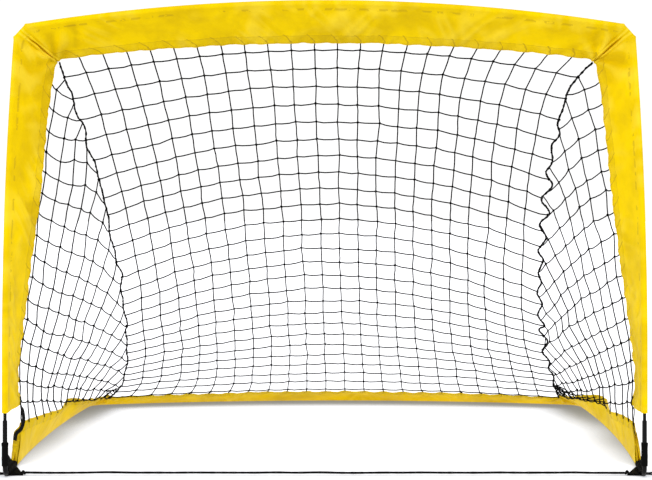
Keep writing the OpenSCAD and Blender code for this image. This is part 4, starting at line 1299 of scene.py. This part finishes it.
for side, label in SIDES:
    strap(side, label)

# ---- what moves with what ----

for obj in (ground_cord, *knots.values(), *loops.values()):
    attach(obj, "base")
for obj in (back_net, *side_nets, *seam_cords):
    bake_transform(obj)

# ---- the CAD pieces that show ----

FINISHES = {"foot": STEEL, "post_pole_tips": PLASTIC, "base_pole_tips": PLASTIC, "shock_cord": SHOCK,
            "pole": FIBREGLASS, "ferrule": ZINC, "elbow": ZINC}
for node_name, obj in frame["nodes"].items():
    finish = next((mat for key, mat in FINISHES.items() if key in node_name), None)
    if finish and not obj.hide_render:
        obj.data.materials.clear()
        obj.data.materials.append(finish)

# ---- floor and light ----

floor_mesh = bpy.data.meshes.new("Floor")
floor_mesh.from_pydata([(-60, -60, 0), (60, -60, 0), (60, 60, 0), (-60, 60, 0)], [], [(0, 1, 2, 3)])
floor = bpy.data.objects.new("Floor", floor_mesh)
bpy.context.collection.objects.link(floor)
floor_mat, nodes, surface = material("Pale floor", 0.1, Roughness=0.9)
# For the camera the floor glows, so that it looks white, and its colour and glow are darkened by ambient
# occlusion under and beside the goal, to a bluish grey: a painted contact shadow. To other rays it is grey
# and glows at half strength, so that it lights the goal from below.
camera_ray = nodes.add("ShaderNodeLightPath").outputs["Is Camera Ray"]
open_air = nodes.add("ShaderNodeAmbientOcclusion", samples=12)
nodes.feed(open_air.inputs["Distance"], 0.095)
air = nodes.math("POWER", open_air.outputs["AO"], 1.4)
plain = nodes.mix(air, (0.08, 0.10, 0.16, 1), (0.38, 0.39, 0.43, 1))
nodes.feed(surface["Base Color"], nodes.mix(camera_ray, (0.50, 0.50, 0.52, 1), plain))
glow = nodes.plus(nodes.times(air, 0.90), 0.20)
glow = nodes.plus(nodes.times(nodes.minus(glow, 0.50), camera_ray), 0.50)
nodes.feed(surface["Emission Strength"], glow)
nodes.feed(surface["Emission Color"], (1.0, 1.0, 1.0, 1.0))
floor_mesh.materials.append(floor_mat)

scene_world = bpy.data.worlds.new("Studio")
bpy.context.scene.world = scene_world
scene_world.use_nodes = True
scene_world.node_tree.nodes.clear()
nodes = Nodes(scene_world.node_tree)
out, pick = nodes.add("ShaderNodeOutputWorld"), nodes.add("ShaderNodeMixShader")
path = nodes.add("ShaderNodeLightPath")
nodes.feed(pick.inputs[0], nodes.larger(path.outputs["Is Camera Ray"], path.outputs["Is Transmission Ray"]))
# What lights the goal, and what is seen behind it
for at, strength in ((1, 0.68), (2, 1.1)):
    background = nodes.add("ShaderNodeBackground")
    nodes.feed(background.inputs["Color"], (1.0, 1.0, 1.0, 1.0))
    nodes.feed(background.inputs["Strength"], strength)
    nodes.feed(pick.inputs[at], background.outputs[0])
nodes.feed(out.inputs[0], pick.outputs[0])


def sun(name, angle, strength, elevation, azimuth):
    """A sun, with its angles in degrees and its azimuth clockwise from behind the goal."""
    data = bpy.data.lights.new(name, "SUN")
    data.angle, data.energy = math.radians(angle), strength
    obj = bpy.data.objects.new(name, data)
    bpy.context.collection.objects.link(obj)
    e, a = math.radians(elevation), math.radians(azimuth)
    towards = Vector((math.sin(a) * math.cos(e), math.cos(a) * math.cos(e), math.sin(e)))
    obj.rotation_euler = towards.to_track_quat("Z", "Y").to_euler()
    return obj


sun("Key", 20, 1.1, 30, 127)
sun("Fill", 20, 1.3, 4, 233)

bpy.context.scene.view_settings.view_transform = "Standard"
